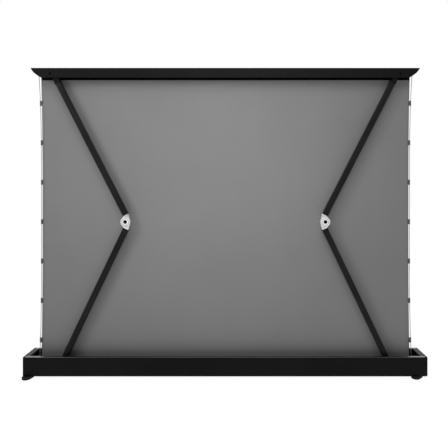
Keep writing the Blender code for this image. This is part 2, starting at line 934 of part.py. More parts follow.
def make_top_bracket(name, side, parent, origin, material):
    """Inverted U under the top bar that the upper arm's fork hangs in."""
    inside = arm_half_depth + top_bracket_gap
    outside = inside + top_bracket_thickness
    top = lid_under - fit_gap
    web_low = top - top_bracket_web
    center = side * pivot_side
    cheek = [
        (center - side * top_bracket_inward, top),
        (center - side * top_bracket_inward, (top + top_pivot_height) / 2),
        *[
            (center + side * a, top_pivot_height + b)
            for a, b in arc((0, 0), top_bracket_radius, 180, 360, round_steps // 2)
        ],
        (center + side * top_bracket_outward, (top + top_pivot_height) / 2 - top_bracket_radius),
        (center + side * top_bracket_outward, top),
    ]
    near = prism(cheek, arm_plane_depth - outside, arm_plane_depth - inside, along_y)
    far = prism(cheek, arm_plane_depth + inside, arm_plane_depth + outside, along_y)
    reach = sorted([center - side * top_bracket_inward, center + side * top_bracket_outward])
    web = prism(rectangle(*reach, web_low, top), arm_plane_depth - inside - merge_overlap,
                arm_plane_depth + inside + merge_overlap, along_y)
    pin_bore = turned(
        [
            (base_pin_radius + fit_gap, arm_plane_depth - outside - cut_overrun),
            (base_pin_radius + fit_gap, arm_plane_depth + outside + cut_overrun),
        ],
        (center, top_pivot_height),
        along_y,
    )
    screw_bore = turned(
        [
            (lid_screw_radius + fit_gap, arm_plane_depth - outside - cut_overrun),
            (lid_screw_radius + fit_gap, arm_plane_depth),
        ],
        (center + side * lid_screw_outward, screen_height - lid_screw_drop),
        along_y,
        steps=round_steps // 2,
    )
    add_part(name, cut(union(web, near, far), pin_bore, screw_bore), material, parent, origin)


def make_top_pin(name, side, parent, origin, material):
    half = arm_half_depth + top_bracket_gap + top_bracket_thickness
    profile = [(base_pin_radius, arm_plane_depth - half), (base_pin_radius, arm_plane_depth + half)]
    pin = turned(profile, (side * pivot_side, top_pivot_height), along_y)
    add_part(name, pin, material, parent, origin)


def make_top_bar_screw(name, center, parent, origin, material):
    seat = -lid_half_depth - fit_gap
    profile = [
        (lid_screw_head_radius - lid_screw_radius / 2, seat - lid_screw_head_height),
        (lid_screw_head_radius, seat - lid_screw_head_height / 2),
        (lid_screw_head_radius, seat),
        (lid_screw_radius, seat),
        (lid_screw_radius, seat + lid_wall + lid_screw_reach),
    ]
    add_part(name, turned(profile, center, along_y), material, parent, origin)


def make_cloth_clamp(parent, origin, material):
    slot_half = cloth_thickness / 2 + fit_gap
    top = lid_under - fit_gap
    low = top - clamp_height
    outline = [
        (cloth_depth - clamp_half_width, low),
        (cloth_depth - slot_half, low),
        (cloth_depth - slot_half, top - clamp_wall),
        (cloth_depth + slot_half, top - clamp_wall),
        (cloth_depth + slot_half, low),
        (cloth_depth + clamp_half_width, low),
        (cloth_depth + clamp_half_width, top),
        (cloth_depth - clamp_half_width, top),
    ]
    reach = cloth_half_width + cloth_top_spread + clamp_end_margin
    strip = prism(outline, -reach, reach, along_x)
    bores = []
    for side in (left, right):
        center = side * cord_side(cord_top_height() - cord_in_anchor / 2)
        ends = sorted([side * (reach - merge_overlap), center + side * cord_anchor_width / 2])
        block_outline = rectangle(*ends, cloth_depth - clamp_half_width, cloth_depth + clamp_half_width)
        strip = union(strip, prism(block_outline, top - cord_anchor_height, top, along_z))
        bore_radius = cord_radius + cord_anchor_clearance
        bore_top = cord_top_height() + fit_gap
        bores.append(turned([(bore_radius, top - cord_anchor_height - cut_overrun), (bore_radius, bore_top)],
                            (center, cloth_depth), along_z, steps=cord_sides * 2))
    add_part("cloth_clamp_strip", cut(strip, *bores), material, parent, origin)


def cord_top_height():
    return lid_under - fit_gap - cord_anchor_height + cord_in_anchor


def cord_side(height):
    """Distance of a tension cord from the middle: it spreads towards both its ends."""
    low = roller_height
    middle = (low + cord_top_height()) / 2
    share = (height - middle) / (cord_top_height() - middle)
    spread = cord_top_spread if share > 0 else cord_bottom_spread
    return cord_half_distance + spread * abs(share) ** tension_power


def make_top_bar(top_axis):
    """Everything that rises with the top bar; its meshes are in the screen's own frame."""
    origin = (pivot_side, -arm_plane_depth, -top_pivot_height)
    aluminium = black_anodised_aluminium()
    plastic = black_plastic()
    steel = black_steel()
    make_top_bar_profile(top_axis, origin, aluminium)
    for word, side in (("left", left), ("right", right)):
        make_top_bar_end_cap("top_bar_end_cap_" + word, side, top_axis, origin, plastic)
        make_top_bracket("top_bracket_" + word, side, top_axis, origin, steel)
        make_top_pin("top_pivot_pin_" + word, side, top_axis, origin, bright_steel())
    for word, center in zip(("left", "right"), lid_screw_centers()):
        make_top_bar_screw("top_bar_screw_" + word, center, top_axis, origin, steel)
    make_cloth_clamp(top_axis, origin, aluminium)


# Roller and motor


def roller_center():
    return (roller_depth, roller_height)


def make_roller():
    center = roller_center()
    inner = roller_tube_radius - roller_tube_wall
    reach = roller_tube_half_length
    axis = add_axis("roller_axis", (0, roller_depth, roller_height), 0)
    origin = (0, -roller_depth, -roller_height)
    tube = turned(
        [(inner, -reach), (roller_tube_radius, -reach), (roller_tube_radius, reach), (inner, reach)],
        center, along_x, closed=True, steps=fine_round_steps)
    add_part("roller_tube", tube, black_anodised_aluminium(), axis, origin)
    core = roller_tube_radius + fit_gap
    wound = turned(
        [
            (core, -wound_half_length),
            (wound_radius, -wound_half_length),
            (wound_radius, wound_half_length),
            (core, wound_half_length),
        ],
        center, along_x, closed=True, steps=fine_round_steps)
    add_part("wound_cloth", wound, grey_screen_cloth(), axis, origin)
    bore = idler_pin_radius + fit_gap
    plug_radius = inner - fit_gap
    flange_start = reach + fit_gap
    plug = turned(
        [
            (bore, -(flange_start + roller_flange_thickness)),
            (roller_tube_radius, -(flange_start + roller_flange_thickness)),
            (roller_tube_radius, -flange_start),
            (plug_radius, -flange_start),
            (plug_radius, -(reach - roller_plug_length)),
            (bore, -(reach - roller_plug_length)),
        ],
        center, along_x, closed=True)
    add_part("roller_idler_plug", plug, black_plastic(), axis, origin)
    adapter_end = reach - motor_length - fit_gap
    shaft_bore = motor_shaft_radius + fit_gap
    adapter = turned(
        [
            (shaft_bore, adapter_end - adapter_length),
            (plug_radius, adapter_end - adapter_length),
            (plug_radius, adapter_end),
            (shaft_bore, adapter_end),
        ],
        center, along_x, closed=True)
    add_part("motor_drive_adapter", adapter, black_plastic(), axis, origin)


def make_tube_motor(material):
    start = roller_tube_half_length - motor_length
    flange_start = roller_tube_half_length + fit_gap
    profile = [
        (motor_shaft_radius, start - motor_shaft_length),
        (motor_shaft_radius, start),
        (motor_radius, start),
        (motor_radius, flange_start),
        (roller_tube_radius, flange_start),
        (roller_tube_radius, bracket_side - fit_gap),
        (motor_boss_radius, bracket_side - fit_gap),
        (motor_boss_radius, bracket_side + bracket_thickness),
    ]
    add_part("tube_motor", turned(profile, roller_center(), along_x), material)


def bracket_body(side, bore):
    """Upright plate on a foot that lies on the floor plate."""
    top = roller_height + bracket_half_width
    upright = [
        (roller_depth - bracket_half_width, floor_top + fit_gap),
        (roller_depth + bracket_half_width, floor_top + fit_gap),
        (roller_depth + bracket_half_width, top - bracket_half_width),
        *arc(roller_center(), bracket_half_width, 0, 180, round_steps // 2),
        (roller_depth - bracket_half_width, top - bracket_half_width),
    ]
    holes = [circle(roller_center(), bore)] if bore else []
    plate = prism(remove_repeats(upright), side * bracket_side, side * (bracket_side + bracket_thickness),
                  along_x, holes)
    reach = sorted([side * (bracket_side - bracket_foot_length), side * (bracket_side + merge_overlap)])
    foot_outline = rectangle(*reach, roller_depth - bracket_half_width, roller_depth + bracket_half_width)
    foot = prism(foot_outline, floor_top + fit_gap, floor_top + fit_gap + bracket_thickness, along_z)
    return union(plate, foot)


def remove_repeats(points):
    """The points without those that repeat the one before."""
    kept = [points[0]]
    for point in points[1:]:
        if math.dist(point, kept[-1]) > fit_gap:
            kept.append(point)
    return kept


def make_roller_brackets(material):
    pin_end = roller_tube_half_length + roller_flange_thickness - idler_pin_length
    pin = turned(
        [(idler_pin_radius, -(bracket_side + merge_overlap)), (idler_pin_radius, -pin_end)],
        roller_center(), along_x)
    add_part("idler_bracket", union(bracket_body(left, 0), pin), material)
    add_part("motor_bracket", bracket_body(right, motor_boss_radius + fit_gap), material)


# Power


def make_control_box(material):
    start = control_box_end - control_box_length
    near = arm_plane_depth - control_box_depth / 2
    far = arm_plane_depth + control_box_depth / 2
    base = floor_top + fit_gap
    outline = rounded_rectangle(start, control_box_end, near, far, control_box_corner_radius)
    add_part("control_box", prism(outline, base, base + control_box_height, along_z), material)


def make_power_inlet(material):
    front = half_length - fit_gap
    block = prism(inlet_outline(0), front - inlet_depth, front, along_x)
    recess = prism(inlet_outline(-inlet_wall), front - inlet_recess, front + cut_overrun, along_x)
    pins = []
    for way in (-1, 1):
        center = (inlet_center_depth + way * inlet_pin_spacing / 2, inlet_center_height)
        base = front - inlet_recess
        profile = [(inlet_pin_radius, base - merge_overlap), (inlet_pin_radius, base + inlet_pin_length)]
        pins.append(turned(profile, center, along_x, steps=round_steps // 3))
    add_part("power_inlet", union(cut(block, recess), *pins), material)


# Cloth, tension cords and tabs


def cloth_side(height):
    """Half width of the cloth, whose edges draw in between its ends."""
    low = roller_height
    top = lid_under - fit_gap - clamp_height + cloth_in_clamp
    middle = (low + top) / 2
    share = (height - middle) / (top - middle)
    spread = cloth_top_spread if share > 0 else cloth_bottom_spread
    return cloth_half_width + spread * abs(share) ** (tension_power - 1)


def make_cloth(material):
    low = roller_height
    top = lid_under - fit_gap - clamp_height + cloth_in_clamp
    heights = [low + (top - low) * step / curve_steps for step in range(curve_steps + 1)]
    right_edge = [(cloth_side(height), height) for height in heights]
    left_edge = [(-cloth_side(height), height) for height in reversed(heights)]
    half = cloth_thickness / 2
    cloth = prism(right_edge + left_edge, cloth_depth - half, cloth_depth + half, along_y)
    add_part("screen_cloth", cloth, material)


def make_cord(name, side, material):
    low = roller_height
    top = cord_top_height()
    rings = []
    for step in range(2 * curve_steps + 1):
        height = low + (top - low) * step / (2 * curve_steps)
        outline = circle((side * cord_side(height), cloth_depth), cord_radius, cord_sides)
        rings.append([(a, b, height) for a, b in outline])
    add_part(name, loft(rings), material)


def tab_outline(side, height):
    """Tab from the cloth's rear face out to a loop round the cord."""
    loop_radius = cord_radius + tab_cord_clearance + tab_wall
    strip_front = -cloth_thickness / 2 - fit_gap
    strip_back = strip_front - tab_wall
    cord_place = cord_side(height)
    inner_end = cloth_side(height) - tab_on_cloth / 2 - cord_place
    start = 180 - math.degrees(math.asin(strip_front / loop_radius))
    end = 180 - math.degrees(math.asin(strip_back / loop_radius))
    points = [
        (inner_end, strip_back),
        (inner_end, strip_front),
        *reversed(arc((0, 0), loop_radius, end - 360, start, round_steps)),
    ]
    return [(side * (cord_place + a), cloth_depth + b) for a, b in points]


def make_tabs(name, side, material):
    """Tape along the cloth's edge, with the tabs that hold the tension cord."""
    front = cloth_depth - cloth_thickness / 2 - fit_gap
    low = tab_top_height - (tab_count - 1) * tab_pitch - tab_height
    top = tab_top_height + tab_height
    rings = []
    for step in range(curve_steps + 1):
        height = low + (top - low) * step / curve_steps
        edge = cloth_side(height) - tab_wall
        tape = rectangle(edge - tab_on_cloth, edge, front - tab_wall, front)
        rings.append([(side * a, b, height) for a, b in tape])
    strip = loft(rings)
    for index in range(tab_count):
        height = tab_top_height - index * tab_pitch
        bore = circle((side * cord_side(height), cloth_depth), cord_radius + tab_cord_clearance)
        base = height - tab_height / 2
        strip = union(strip, prism(tab_outline(side, height), base, base + tab_height, along_z, [bore]))
    add_part(name, strip, material)


def make_housing():
    aluminium = black_anodised_aluminium()
    plastic = black_plastic()
    steel = black_steel()
    make_wall("housing_rear_profile", left, aluminium)
    make_wall("housing_front_profile", right, aluminium)
    make_floor_plate(steel)
    make_end_cap("housing_end_cap_left", left, plastic)
    make_end_cap("housing_end_cap_right", right, plastic)
    for word, side in (("left", left), ("right", right)):
        make_base_bracket("arm_base_bracket_" + word, side, steel)
        make_base_pin("base_pivot_pin_" + word, side, bright_steel())
    make_rest_block(black_rubber())
    make_roller_brackets(steel)
    make_tube_motor(steel)
    make_control_box(plastic)
    make_power_inlet(plastic)


def make_screen():
    clear_scene()
    make_housing()
    make_feet(black_plastic(), black_steel())
    make_arm("right", right)
    make_top_bar(make_arm("left", left))
    make_roller()
    make_cloth(grey_screen_cloth())
    cord_material = pale_cord()
    tab_material = grey_tab_plastic()
    for word, side in (("left", left), ("right", right)):
        make_cord("edge_cord_" + word, side, cord_material)
        make_tabs("cord_tabs_" + word, side, tab_material)


make_screen()
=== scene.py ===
import json
import math
import bmesh
import bpy
import numpy as np
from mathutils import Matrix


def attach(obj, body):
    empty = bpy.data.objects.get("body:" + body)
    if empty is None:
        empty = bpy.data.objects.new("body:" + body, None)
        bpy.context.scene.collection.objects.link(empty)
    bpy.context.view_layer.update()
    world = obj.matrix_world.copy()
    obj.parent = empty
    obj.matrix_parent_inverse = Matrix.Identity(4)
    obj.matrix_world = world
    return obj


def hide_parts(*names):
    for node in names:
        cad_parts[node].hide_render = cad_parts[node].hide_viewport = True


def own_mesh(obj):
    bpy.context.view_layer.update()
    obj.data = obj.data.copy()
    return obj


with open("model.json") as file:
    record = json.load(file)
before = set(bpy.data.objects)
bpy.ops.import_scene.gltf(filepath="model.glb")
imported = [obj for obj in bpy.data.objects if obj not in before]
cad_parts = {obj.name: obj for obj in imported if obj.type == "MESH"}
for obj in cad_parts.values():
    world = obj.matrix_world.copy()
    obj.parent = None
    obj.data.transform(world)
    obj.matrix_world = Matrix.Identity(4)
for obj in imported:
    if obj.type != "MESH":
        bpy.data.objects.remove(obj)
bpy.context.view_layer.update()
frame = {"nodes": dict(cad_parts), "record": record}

nodes = frame["nodes"]
bodyOf = {node: body for body, members in frame["record"]["behaviour"]["bodies"].items() for node in members}
slotOf = {entry["node"]: entry["material_slot"] for entry in frame["record"]["subparts"]}

# the screen's own sizes, in metres: X along the housing, Z up, the rear with the arms towards -Y
screen = {
    "height": 1.889, "halfDepth": 0.090,
    "housingBottom": 0.015, "rimHeight": 0.131,
    "armPlane": -0.039, "baseSide": 1.037, "baseHeight": 0.057,
    "kneeSide": 0.613, "kneeHeight": 0.9475, "topOffset": 0.028,
    "clothPlane": -0.008, "rollerDepth": 0.0272, "rollerHeight": 0.062,
    "foldedShare": 0.0365,
}
# both arms reach equally far between their pivots; the top pivot lies "topOffset" off the upper tube's line
armReach = math.hypot(screen["baseSide"] - screen["kneeSide"], screen["kneeHeight"] - screen["baseHeight"])
lowerLean = math.asin((screen["baseSide"] - screen["kneeSide"]) / armReach)
upperLean = lowerLean + math.asin(screen["topOffset"] / armReach)
upperReach = math.sqrt(armReach ** 2 - screen["topOffset"] ** 2)


# an outline's corners, each replaced by a quadratic arc that starts and ends "radius" before and after it
def fillet(corners, radius, steps=5):
    points = np.asarray(corners, float)
    back = np.roll(points, 1, 0) - points
    ahead = np.roll(points, -1, 0) - points
    backLength = np.linalg.norm(back, axis=1)
    aheadLength = np.linalg.norm(ahead, axis=1)
    reach = np.minimum(np.broadcast_to(radius, backLength.shape), 0.48 * np.minimum(backLength, aheadLength))
    start = points + back / backLength[:, None] * reach[:, None]
    end = points + ahead / aheadLength[:, None] * reach[:, None]
    t = np.linspace(0, 1, steps)[None, :, None]
    curve = (1 - t) ** 2 * start[:, None] + 2 * t * (1 - t) * points[:, None] + t ** 2 * end[:, None]
    return curve.reshape(-1, 2)


# a closed outline moved inwards by "distance" along its own normals
def inset(outline, distance):
    tangent = np.roll(outline, -1, 0) - np.roll(outline, 1, 0)
    normal = np.stack([tangent[:, 1], -tangent[:, 0]], 1)
    normal /= np.linalg.norm(normal, axis=1)[:, None] + 1e-12
    area = np.sum(outline[:, 0] * np.roll(outline[:, 1], -1) - np.roll(outline[:, 0], -1) * outline[:, 1])
    return outline - normal * distance * np.sign(area)


# a piece from points and faces, turned outwards, with edges sharper than "smooth" degrees left sharp
def makeObject(name, vertices, faces, material, smooth=40):
    mesh = bpy.data.meshes.new(name)
    mesh.from_pydata(np.asarray(vertices).reshape(-1, 3).tolist(), [], faces)
    mesh.validate()
    piece = bpy.data.objects.new(name, mesh)
    bpy.context.scene.collection.objects.link(piece)
    turnOutwards(mesh)
    mesh.shade_smooth()
    mesh.set_sharp_from_angle(angle=math.radians(smooth))
    mesh.materials.append(material)
    return piece


def turnOutwards(mesh):
    work = bmesh.new()
    work.from_mesh(mesh)
    bmesh.ops.recalc_face_normals(work, faces=work.faces)
    work.to_mesh(mesh)
    work.free()


# quads between the rows and columns of a grid of points; closedRows joins the last row to the first
def gridFaces(rows, columns, closedRows=False, closedColumns=True):
    row = np.arange(rows if closedRows else rows - 1)[:, None]
    column = np.arange(columns if closedColumns else columns - 1)[None, :]
    nextRow, nextColumn = (row + 1) % rows, (column + 1) % columns
    quads = np.stack([row * columns + column, row * columns + nextColumn,
                      nextRow * columns + nextColumn, nextRow * columns + column], -1)
    return quads.reshape(-1, 4).tolist()


# surface through rings of points, an array (ring, point, 3), closed by a flat face at each end
def loft(name, rings, material, closed=False, smooth=40):
    count, around = rings.shape[:2]
    faces = gridFaces(count, around, closedRows=closed)
    if not closed:
        faces += [list(range(around)), list(range((count - 1) * around, count * around))]
    return makeObject(name, rings, faces, material, smooth)


# an outline carried along a straight line and drawn in at each end by a quarter circle of radius "edge"
def extrude(name, outline, low, high, place, material, edge):
    turns = np.linspace(0, math.pi / 2, 4)
    insets = edge * (1 - np.sin(turns))
    places = edge * (1 - np.cos(turns))
    alongs = np.concatenate([low + places, (high - places)[::-1]])
    draws = np.concatenate([insets, insets[::-1]])
    rings = [place(inset(outline, draw), along) for draw, along in zip(draws, alongs)]
    return loft(name, np.stack(rings), material)


# a profile of (radius, along, six) turned about a line; "six" runs from 0, round, to 1, a hexagon
def turned(name, profile, center, place, material, around, closed=False, smooth=35):
    rows = np.asarray(profile, float)
    angle = np.linspace(0, 2 * math.pi, around, endpoint=False)
    hexagon = math.cos(math.pi / 6) / np.cos(angle % (math.pi / 3) - math.pi / 6)
    radius = rows[:, :1] * (1 + rows[:, 2:3] * (hexagon[None] - 1))
    flat = np.stack([center[0] + radius * np.cos(angle), center[1] + radius * np.sin(angle)], -1)
    rings = np.stack([place(ring, along) for ring, along in zip(flat, rows[:, 1])])
    return loft(name, rings, material, closed, smooth)


# flat points put across X, Y or Z, at the place "along" on that axis
def alongX(flat, along):
    return np.column_stack([np.full(len(flat), along), flat])


def alongY(flat, along):
    return np.column_stack([flat[:, 0], np.full(len(flat), along), flat[:, 1]])


def alongZ(flat, along):
    return np.column_stack([flat, np.full(len(flat), along)])


# an arm's own (inward, depth, along) turned by its lean about Y and moved to its pivot
def armPlace(side, lean, pivotSide, pivotHeight):
    def place(points):
        points = np.asarray(points, float)
        across, depth, along = -side * points[..., 0], points[..., 1], points[..., 2]
        return np.stack([side * pivotSide + across * math.cos(lean) + along * math.sin(lean),
                         screen["armPlane"] + depth,
                         pivotHeight - across * math.sin(lean) + along * math.cos(lean)], -1)
    return place


# several pieces made one piece
def joinPieces(name, pieces):
    with bpy.context.temp_override(active_object=pieces[0], selected_editable_objects=pieces,
                                   selected_objects=pieces, object=pieces[0]):
        bpy.ops.object.join()
    pieces[0].name = name
    return pieces[0]


# a piece's body, its material slot, which is not used, and the CAD nodes that it dresses
def settle(piece, body, slot, *replaced):
    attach(piece, body)
    if replaced:
        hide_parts(*replaced)
    return piece


# a lighter, glossier finish on the faces above the height "level" that look up: a painted highlight on the
# tops
def paintHighlightOnTop(piece, level, material, upward=0.3):
    piece.data.materials.append(material)
    for face in piece.data.polygons:
        if face.center.z > level and face.normal.z > upward:
            face.material_index = 1


# a greyer finish on the faces that look to the rear: painted shade on that side
def shadeRearFaces(piece, material, rearward=-0.9):
    piece.data.materials.append(material)
    for face in piece.data.polygons:
        if face.normal.y < rearward:
            face.material_index = 1


# metres within which points are merged, and the degrees of a flat, a sharp and a rounded edge
breaking = {"merge": 0.00001, "flat": 1, "sharp": 40, "rounded": 38}


# the CAD node's shape with its edges broken by a small round, as a tool or a mould leaves them
def brokenEdges(node, name, material, width, segments=2):
    mesh = nodes[node].data.copy()
    work = bmesh.new()
    work.from_mesh(mesh)
    bmesh.ops.remove_doubles(work, verts=work.verts, dist=breaking["merge"])
    bmesh.ops.dissolve_limit(work, angle_limit=math.radians(breaking["flat"]),
                             verts=work.verts, edges=work.edges)
    work.to_mesh(mesh)
    work.free()
    piece = bpy.data.objects.new(name, mesh)
    bpy.context.scene.collection.objects.link(piece)
    mesh.materials.clear()
    mesh.materials.append(material)
    mesh.shade_smooth()
    mesh.set_sharp_from_angle(angle=math.radians(breaking["sharp"]))
    bevel = piece.modifiers.new("brokenEdges", "BEVEL")
    bevel.width = width
    bevel.segments = segments
    bevel.limit_method = "ANGLE"
    bevel.angle_limit = math.radians(breaking["rounded"])
    bevel.use_clamp_overlap = True
    return settle(piece, bodyOf[node], slotOf[node], node)


# the linear colour of an sRGB hex value: a straight foot, and a power of 2.4 above it
def linear(hexColor):
    value = np.array([int(hexColor[start:start + 2], 16) for start in (1, 3, 5)]) / 255
    value = np.where(value <= 0.04045, value / 12.92, ((value + 0.055) / 1.055) ** 2.4)
    return (*value.tolist(), 1.0)


# one node; a setting that isn't its own property is the value of a socket
def addNode(tree, kind, settings=(), links=()):
    node = tree.nodes.new("ShaderNode" + kind)
    for key, value in dict(settings).items():
        if isinstance(key, str) and hasattr(node, key):
            setattr(node, key, value)
        else:
            node.inputs[key].default_value = value
    for key, source in dict(links).items():
        tree.links.new(source, node.inputs[key])
    return node


# a material with plain values on its shader's own sockets, to which each finish adds its patterns
def startMaterial(name, roughness, metallic=0.0, specular=0.5, coat=0.0):
    material = bpy.data.materials.new(name)
    material.use_nodes = True
    tree = material.node_tree
    shader = tree.nodes["Principled BSDF"]
    shader.inputs["Roughness"].default_value = roughness
    shader.inputs["Metallic"].default_value = metallic
    shader.inputs["Specular IOR Level"].default_value = specular
    shader.inputs["Coat Weight"].default_value = coat
    return material, tree, shader


# patterns laid on a shader: one mixes two colours, one spreads the roughness between two values, and one
# raises a bump of a given strength and height; each is a node whose first output varies
def layOn(tree, shader, hexColors, mixing, rough=None, bump=None):
    dark, light = (linear(hexColor) for hexColor in hexColors)
    color = addNode(tree, "Mix", {"data_type": "RGBA", 6: dark, 7: light}, {0: mixing.outputs[0]})
    tree.links.new(color.outputs[2], shader.inputs["Base Color"])
    if rough:
        low, high, pattern = rough
        spread = addNode(tree, "MapRange", {"To Min": low, "To Max": high}, {0: pattern.outputs[0]})
        tree.links.new(spread.outputs[0], shader.inputs["Roughness"])
    if bump:
        strength, distance, pattern = bump
        raised = addNode(tree, "Bump", {"Strength": strength, "Distance": distance},
                         {"Height": pattern.outputs[0]})
        tree.links.new(raised.outputs[0], shader.inputs["Normal"])


def blackAnodised(name, darkHex, lightHex, specular):
    # extruded 6063, bead blasted and dyed black: deep black with a satin sheen, and faint die lines along
    # its length; real die lines lie about 0.3 mm apart and are drawn 4 mm apart, so that they show
    material, tree, shader = startMaterial(name, 0.42, 0.0, specular)
    place = addNode(tree, "TexCoord")
    stretch = addNode(tree, "Mapping", {"Scale": (0.9, 250, 250)}, {"Vector": place.outputs["Object"]})
    lines = addNode(tree, "TexNoise", {"Scale": 1.0, "Detail": 3.0, "Roughness": 0.6},
                    {"Vector": stretch.outputs[0]})
    cloud = addNode(tree, "TexNoise", {"Scale": 3.5, "Detail": 2.0}, {"Vector": place.outputs["Object"]})
    both = addNode(tree, "Math", {"operation": "MULTIPLY_ADD", 1: 0.5},
                   {0: lines.outputs[0], 2: cloud.outputs[0]})
    tone = addNode(tree, "MapRange", {"From Min": 0.45, "From Max": 1.05}, {0: both.outputs[0]})
    layOn(tree, shader, (darkHex, lightHex), tone, (0.36, 0.52, lines), (0.12, 0.0002, lines))
    return material


def blackPowderCoat(name, darkHex, lightHex, specular):
    # steel tube with a baked polyester powder: slightly glossy black with a fine orange peel, whose
    # cells are about 2 mm wide and are drawn 5 mm wide
    material, tree, shader = startMaterial(name, 0.38, 0.0, specular)
    place = addNode(tree, "TexCoord")
    peel = addNode(tree, "TexNoise", {"Scale": 200.0, "Detail": 2.0}, {"Vector": place.outputs["Object"]})
    cloud = addNode(tree, "TexNoise", {"Scale": 5.0, "Detail": 3.0}, {"Vector": place.outputs["Object"]})
    tone = addNode(tree, "MapRange", {"From Min": 0.35, "From Max": 0.65}, {0: cloud.outputs[0]})
    layOn(tree, shader, (darkHex, lightHex), tone, (0.32, 0.46, cloud), (0.2, 0.0004, peel))
    return material


def paintedHighlightBlack(name, specular):
    # the rim's upper face: near black but a little lighter than the walls, a painted highlight, and glossy,
    # so that at a low angle it mirrors the bright surroundings; fine marks run along the rim, 2 mm apart
    material, tree, shader = startMaterial(name, 0.26, 0.0, specular)
    place = addNode(tree, "TexCoord")
    stretch = addNode(tree, "Mapping", {"Scale": (2.0, 500, 500)}, {"Vector": place.outputs["Object"]})
    marks = addNode(tree, "TexNoise", {"Scale": 1.0, "Detail": 2.0}, {"Vector": stretch.outputs[0]})
    layOn(tree, shader, ("#171718", "#232324"), marks, (0.2, 0.34, marks))
    return material


def blackMouldedAbs(name):
    # injection moulded ABS with a spark eroded texture: dull deep black, fine grain about 0.4 mm wide
    # that is drawn 2 mm wide
    material, tree, shader = startMaterial(name, 0.5, 0.0, 0.08)
    place = addNode(tree, "TexCoord")
    grain = addNode(tree, "TexVoronoi", {"Scale": 500.0}, {"Vector": place.outputs["Object"]})
    cloud = addNode(tree, "TexNoise", {"Scale": 12.0, "Detail": 3.0}, {"Vector": place.outputs["Object"]})
    layOn(tree, shader, ("#0d0d0d", "#151516"), cloud, (0.42, 0.6, cloud), (0.25, 0.0003, grain))
    return material


def castAluminium(name, darkHex, lightHex):
    # pressure die cast aluminium, tumbled and clear coated: bright pale silver, soft highlights and a faint
    # mottle from the mould, with cells of about 3 mm; a greyer copy of it on the knee plates' rear faces is
    # painted shade
    material, tree, shader = startMaterial(name, 0.36, 0.55, 0.5, 0.15)
    place = addNode(tree, "TexCoord")
    mottle = addNode(tree, "TexNoise", {"Scale": 320.0, "Detail": 4.0, "Roughness": 0.65},
                     {"Vector": place.outputs["Object"]})
    cloud = addNode(tree, "TexNoise", {"Scale": 60.0, "Detail": 2.0}, {"Vector": place.outputs["Object"]})
    layOn(tree, shader, (darkHex, lightHex), cloud, (0.28, 0.46, mottle), (0.15, 0.0003, mottle))
    return material


def plainSteel(name, darkHex, lightHex, roughness, metallic, specular=0.4):
    # turned or stamped steel, plated or oxidised: fine random scratches make the sheen uneven
    material, tree, shader = startMaterial(name, roughness, metallic, specular)
    place = addNode(tree, "TexCoord")
    scratch = addNode(tree, "TexNoise", {"Scale": 420.0, "Detail": 3.0}, {"Vector": place.outputs["Object"]})
    layOn(tree, shader, (darkHex, lightHex), scratch, (roughness - 0.08, roughness + 0.1, scratch))
    return material


def rubber(name, hexColor):
    # moulded EPDM or polyamide: dull, almost without sheen, with a light dust of scuffs
    material, tree, shader = startMaterial(name, 0.78, 0.0, 0.25)
    place = addNode(tree, "TexCoord")
    scuff = addNode(tree, "TexNoise", {"Scale": 90.0, "Detail": 5.0, "Roughness": 0.7},
                    {"Vector": place.outputs["Object"]})
    tone = addNode(tree, "MapRange", {"From Min": 0.5, "From Max": 0.8, "To Max": 0.35},
                   {0: scuff.outputs[0]})
    layOn(tree, shader, (hexColor, "#2c2c2c"), tone, bump=(0.2, 0.0003, scuff))
    return material


def coatedCloth(name, hexColor, shadeHex, edged=False):
    # PVC coated polyester: matte grey, a fine plain weave embossed by the threads below the coating
    # (0.7 mm apart, drawn 3 mm apart) and a slow unevenness of the coating
    material, tree, shader = startMaterial(name, 0.82, 0.0, 0.18)
    place = addNode(tree, "TexCoord")
    threads = addNode(tree, "TexMagic", {"turbulence_depth": 0, "Scale": 330.0, "Distortion": 1.0},
                      {"Vector": place.outputs["Object"]})
    cloud = addNode(tree, "TexNoise", {"Scale": 2.2, "Detail": 3.0, "Roughness": 0.55},
                    {"Vector": place.outputs["Object"]})
    tone = addNode(tree, "MapRange", {"From Min": 0.3, "From Max": 0.7}, {0: cloud.outputs[0]})
    color = addNode(tree, "Mix", {"data_type": "RGBA", 6: linear(shadeHex), 7: linear(hexColor)},
                    {0: tone.outputs[0]})
    result = color.outputs[2]
    if edged:  # darker along the cloth's two side edges
        edge = addNode(tree, "Attribute", {"attribute_name": "edgeDark"})
        result = addNode(tree, "Mix", {"data_type": "RGBA", 7: linear("#262626")},
                         {0: edge.outputs["Fac"], 6: result}).outputs[2]
    tree.links.new(result, shader.inputs["Base Color"])
    bump = addNode(tree, "Bump", {"Strength": 0.1, "Distance": 0.0002}, {"Height": threads.outputs[1]})
    tree.links.new(bump.outputs[0], shader.inputs["Normal"])
    return material


def braidedCord(name):
    # braided polyester cord, natural pale grey: strands cross every 6 mm along it, from its own UV map
    material, tree, shader = startMaterial(name, 0.75, 0.0, 0.3)
    strandMap = addNode(tree, "UVMap", {"uv_map": "strands"})
    braid = addNode(tree, "TexChecker",
                    {"Scale": 1.0, "Color1": linear("#a9a9a9"), "Color2": linear("#858585")},
                    {"Vector": strandMap.outputs[0]})
    tree.links.new(braid.outputs[0], shader.inputs["Base Color"])
    bump = addNode(tree, "Bump", {"Strength": 0.4, "Distance": 0.0003}, {"Height": braid.outputs[1]})
    tree.links.new(bump.outputs[0], shader.inputs["Normal"])
    return material


def mouldedTab(name, darkHex, lightHex):
    # moulded polypropylene clips, and the welded PVC tape below them: dull, slightly waxy and cloudy
    material, tree, shader = startMaterial(name, 0.55, 0.0, 0.35)
    place = addNode(tree, "TexCoord")
    cloud = addNode(tree, "TexNoise", {"Scale": 130.0, "Detail": 3.0}, {"Vector": place.outputs["Object"]})
    layOn(tree, shader, (darkHex, lightHex), cloud)
    return material


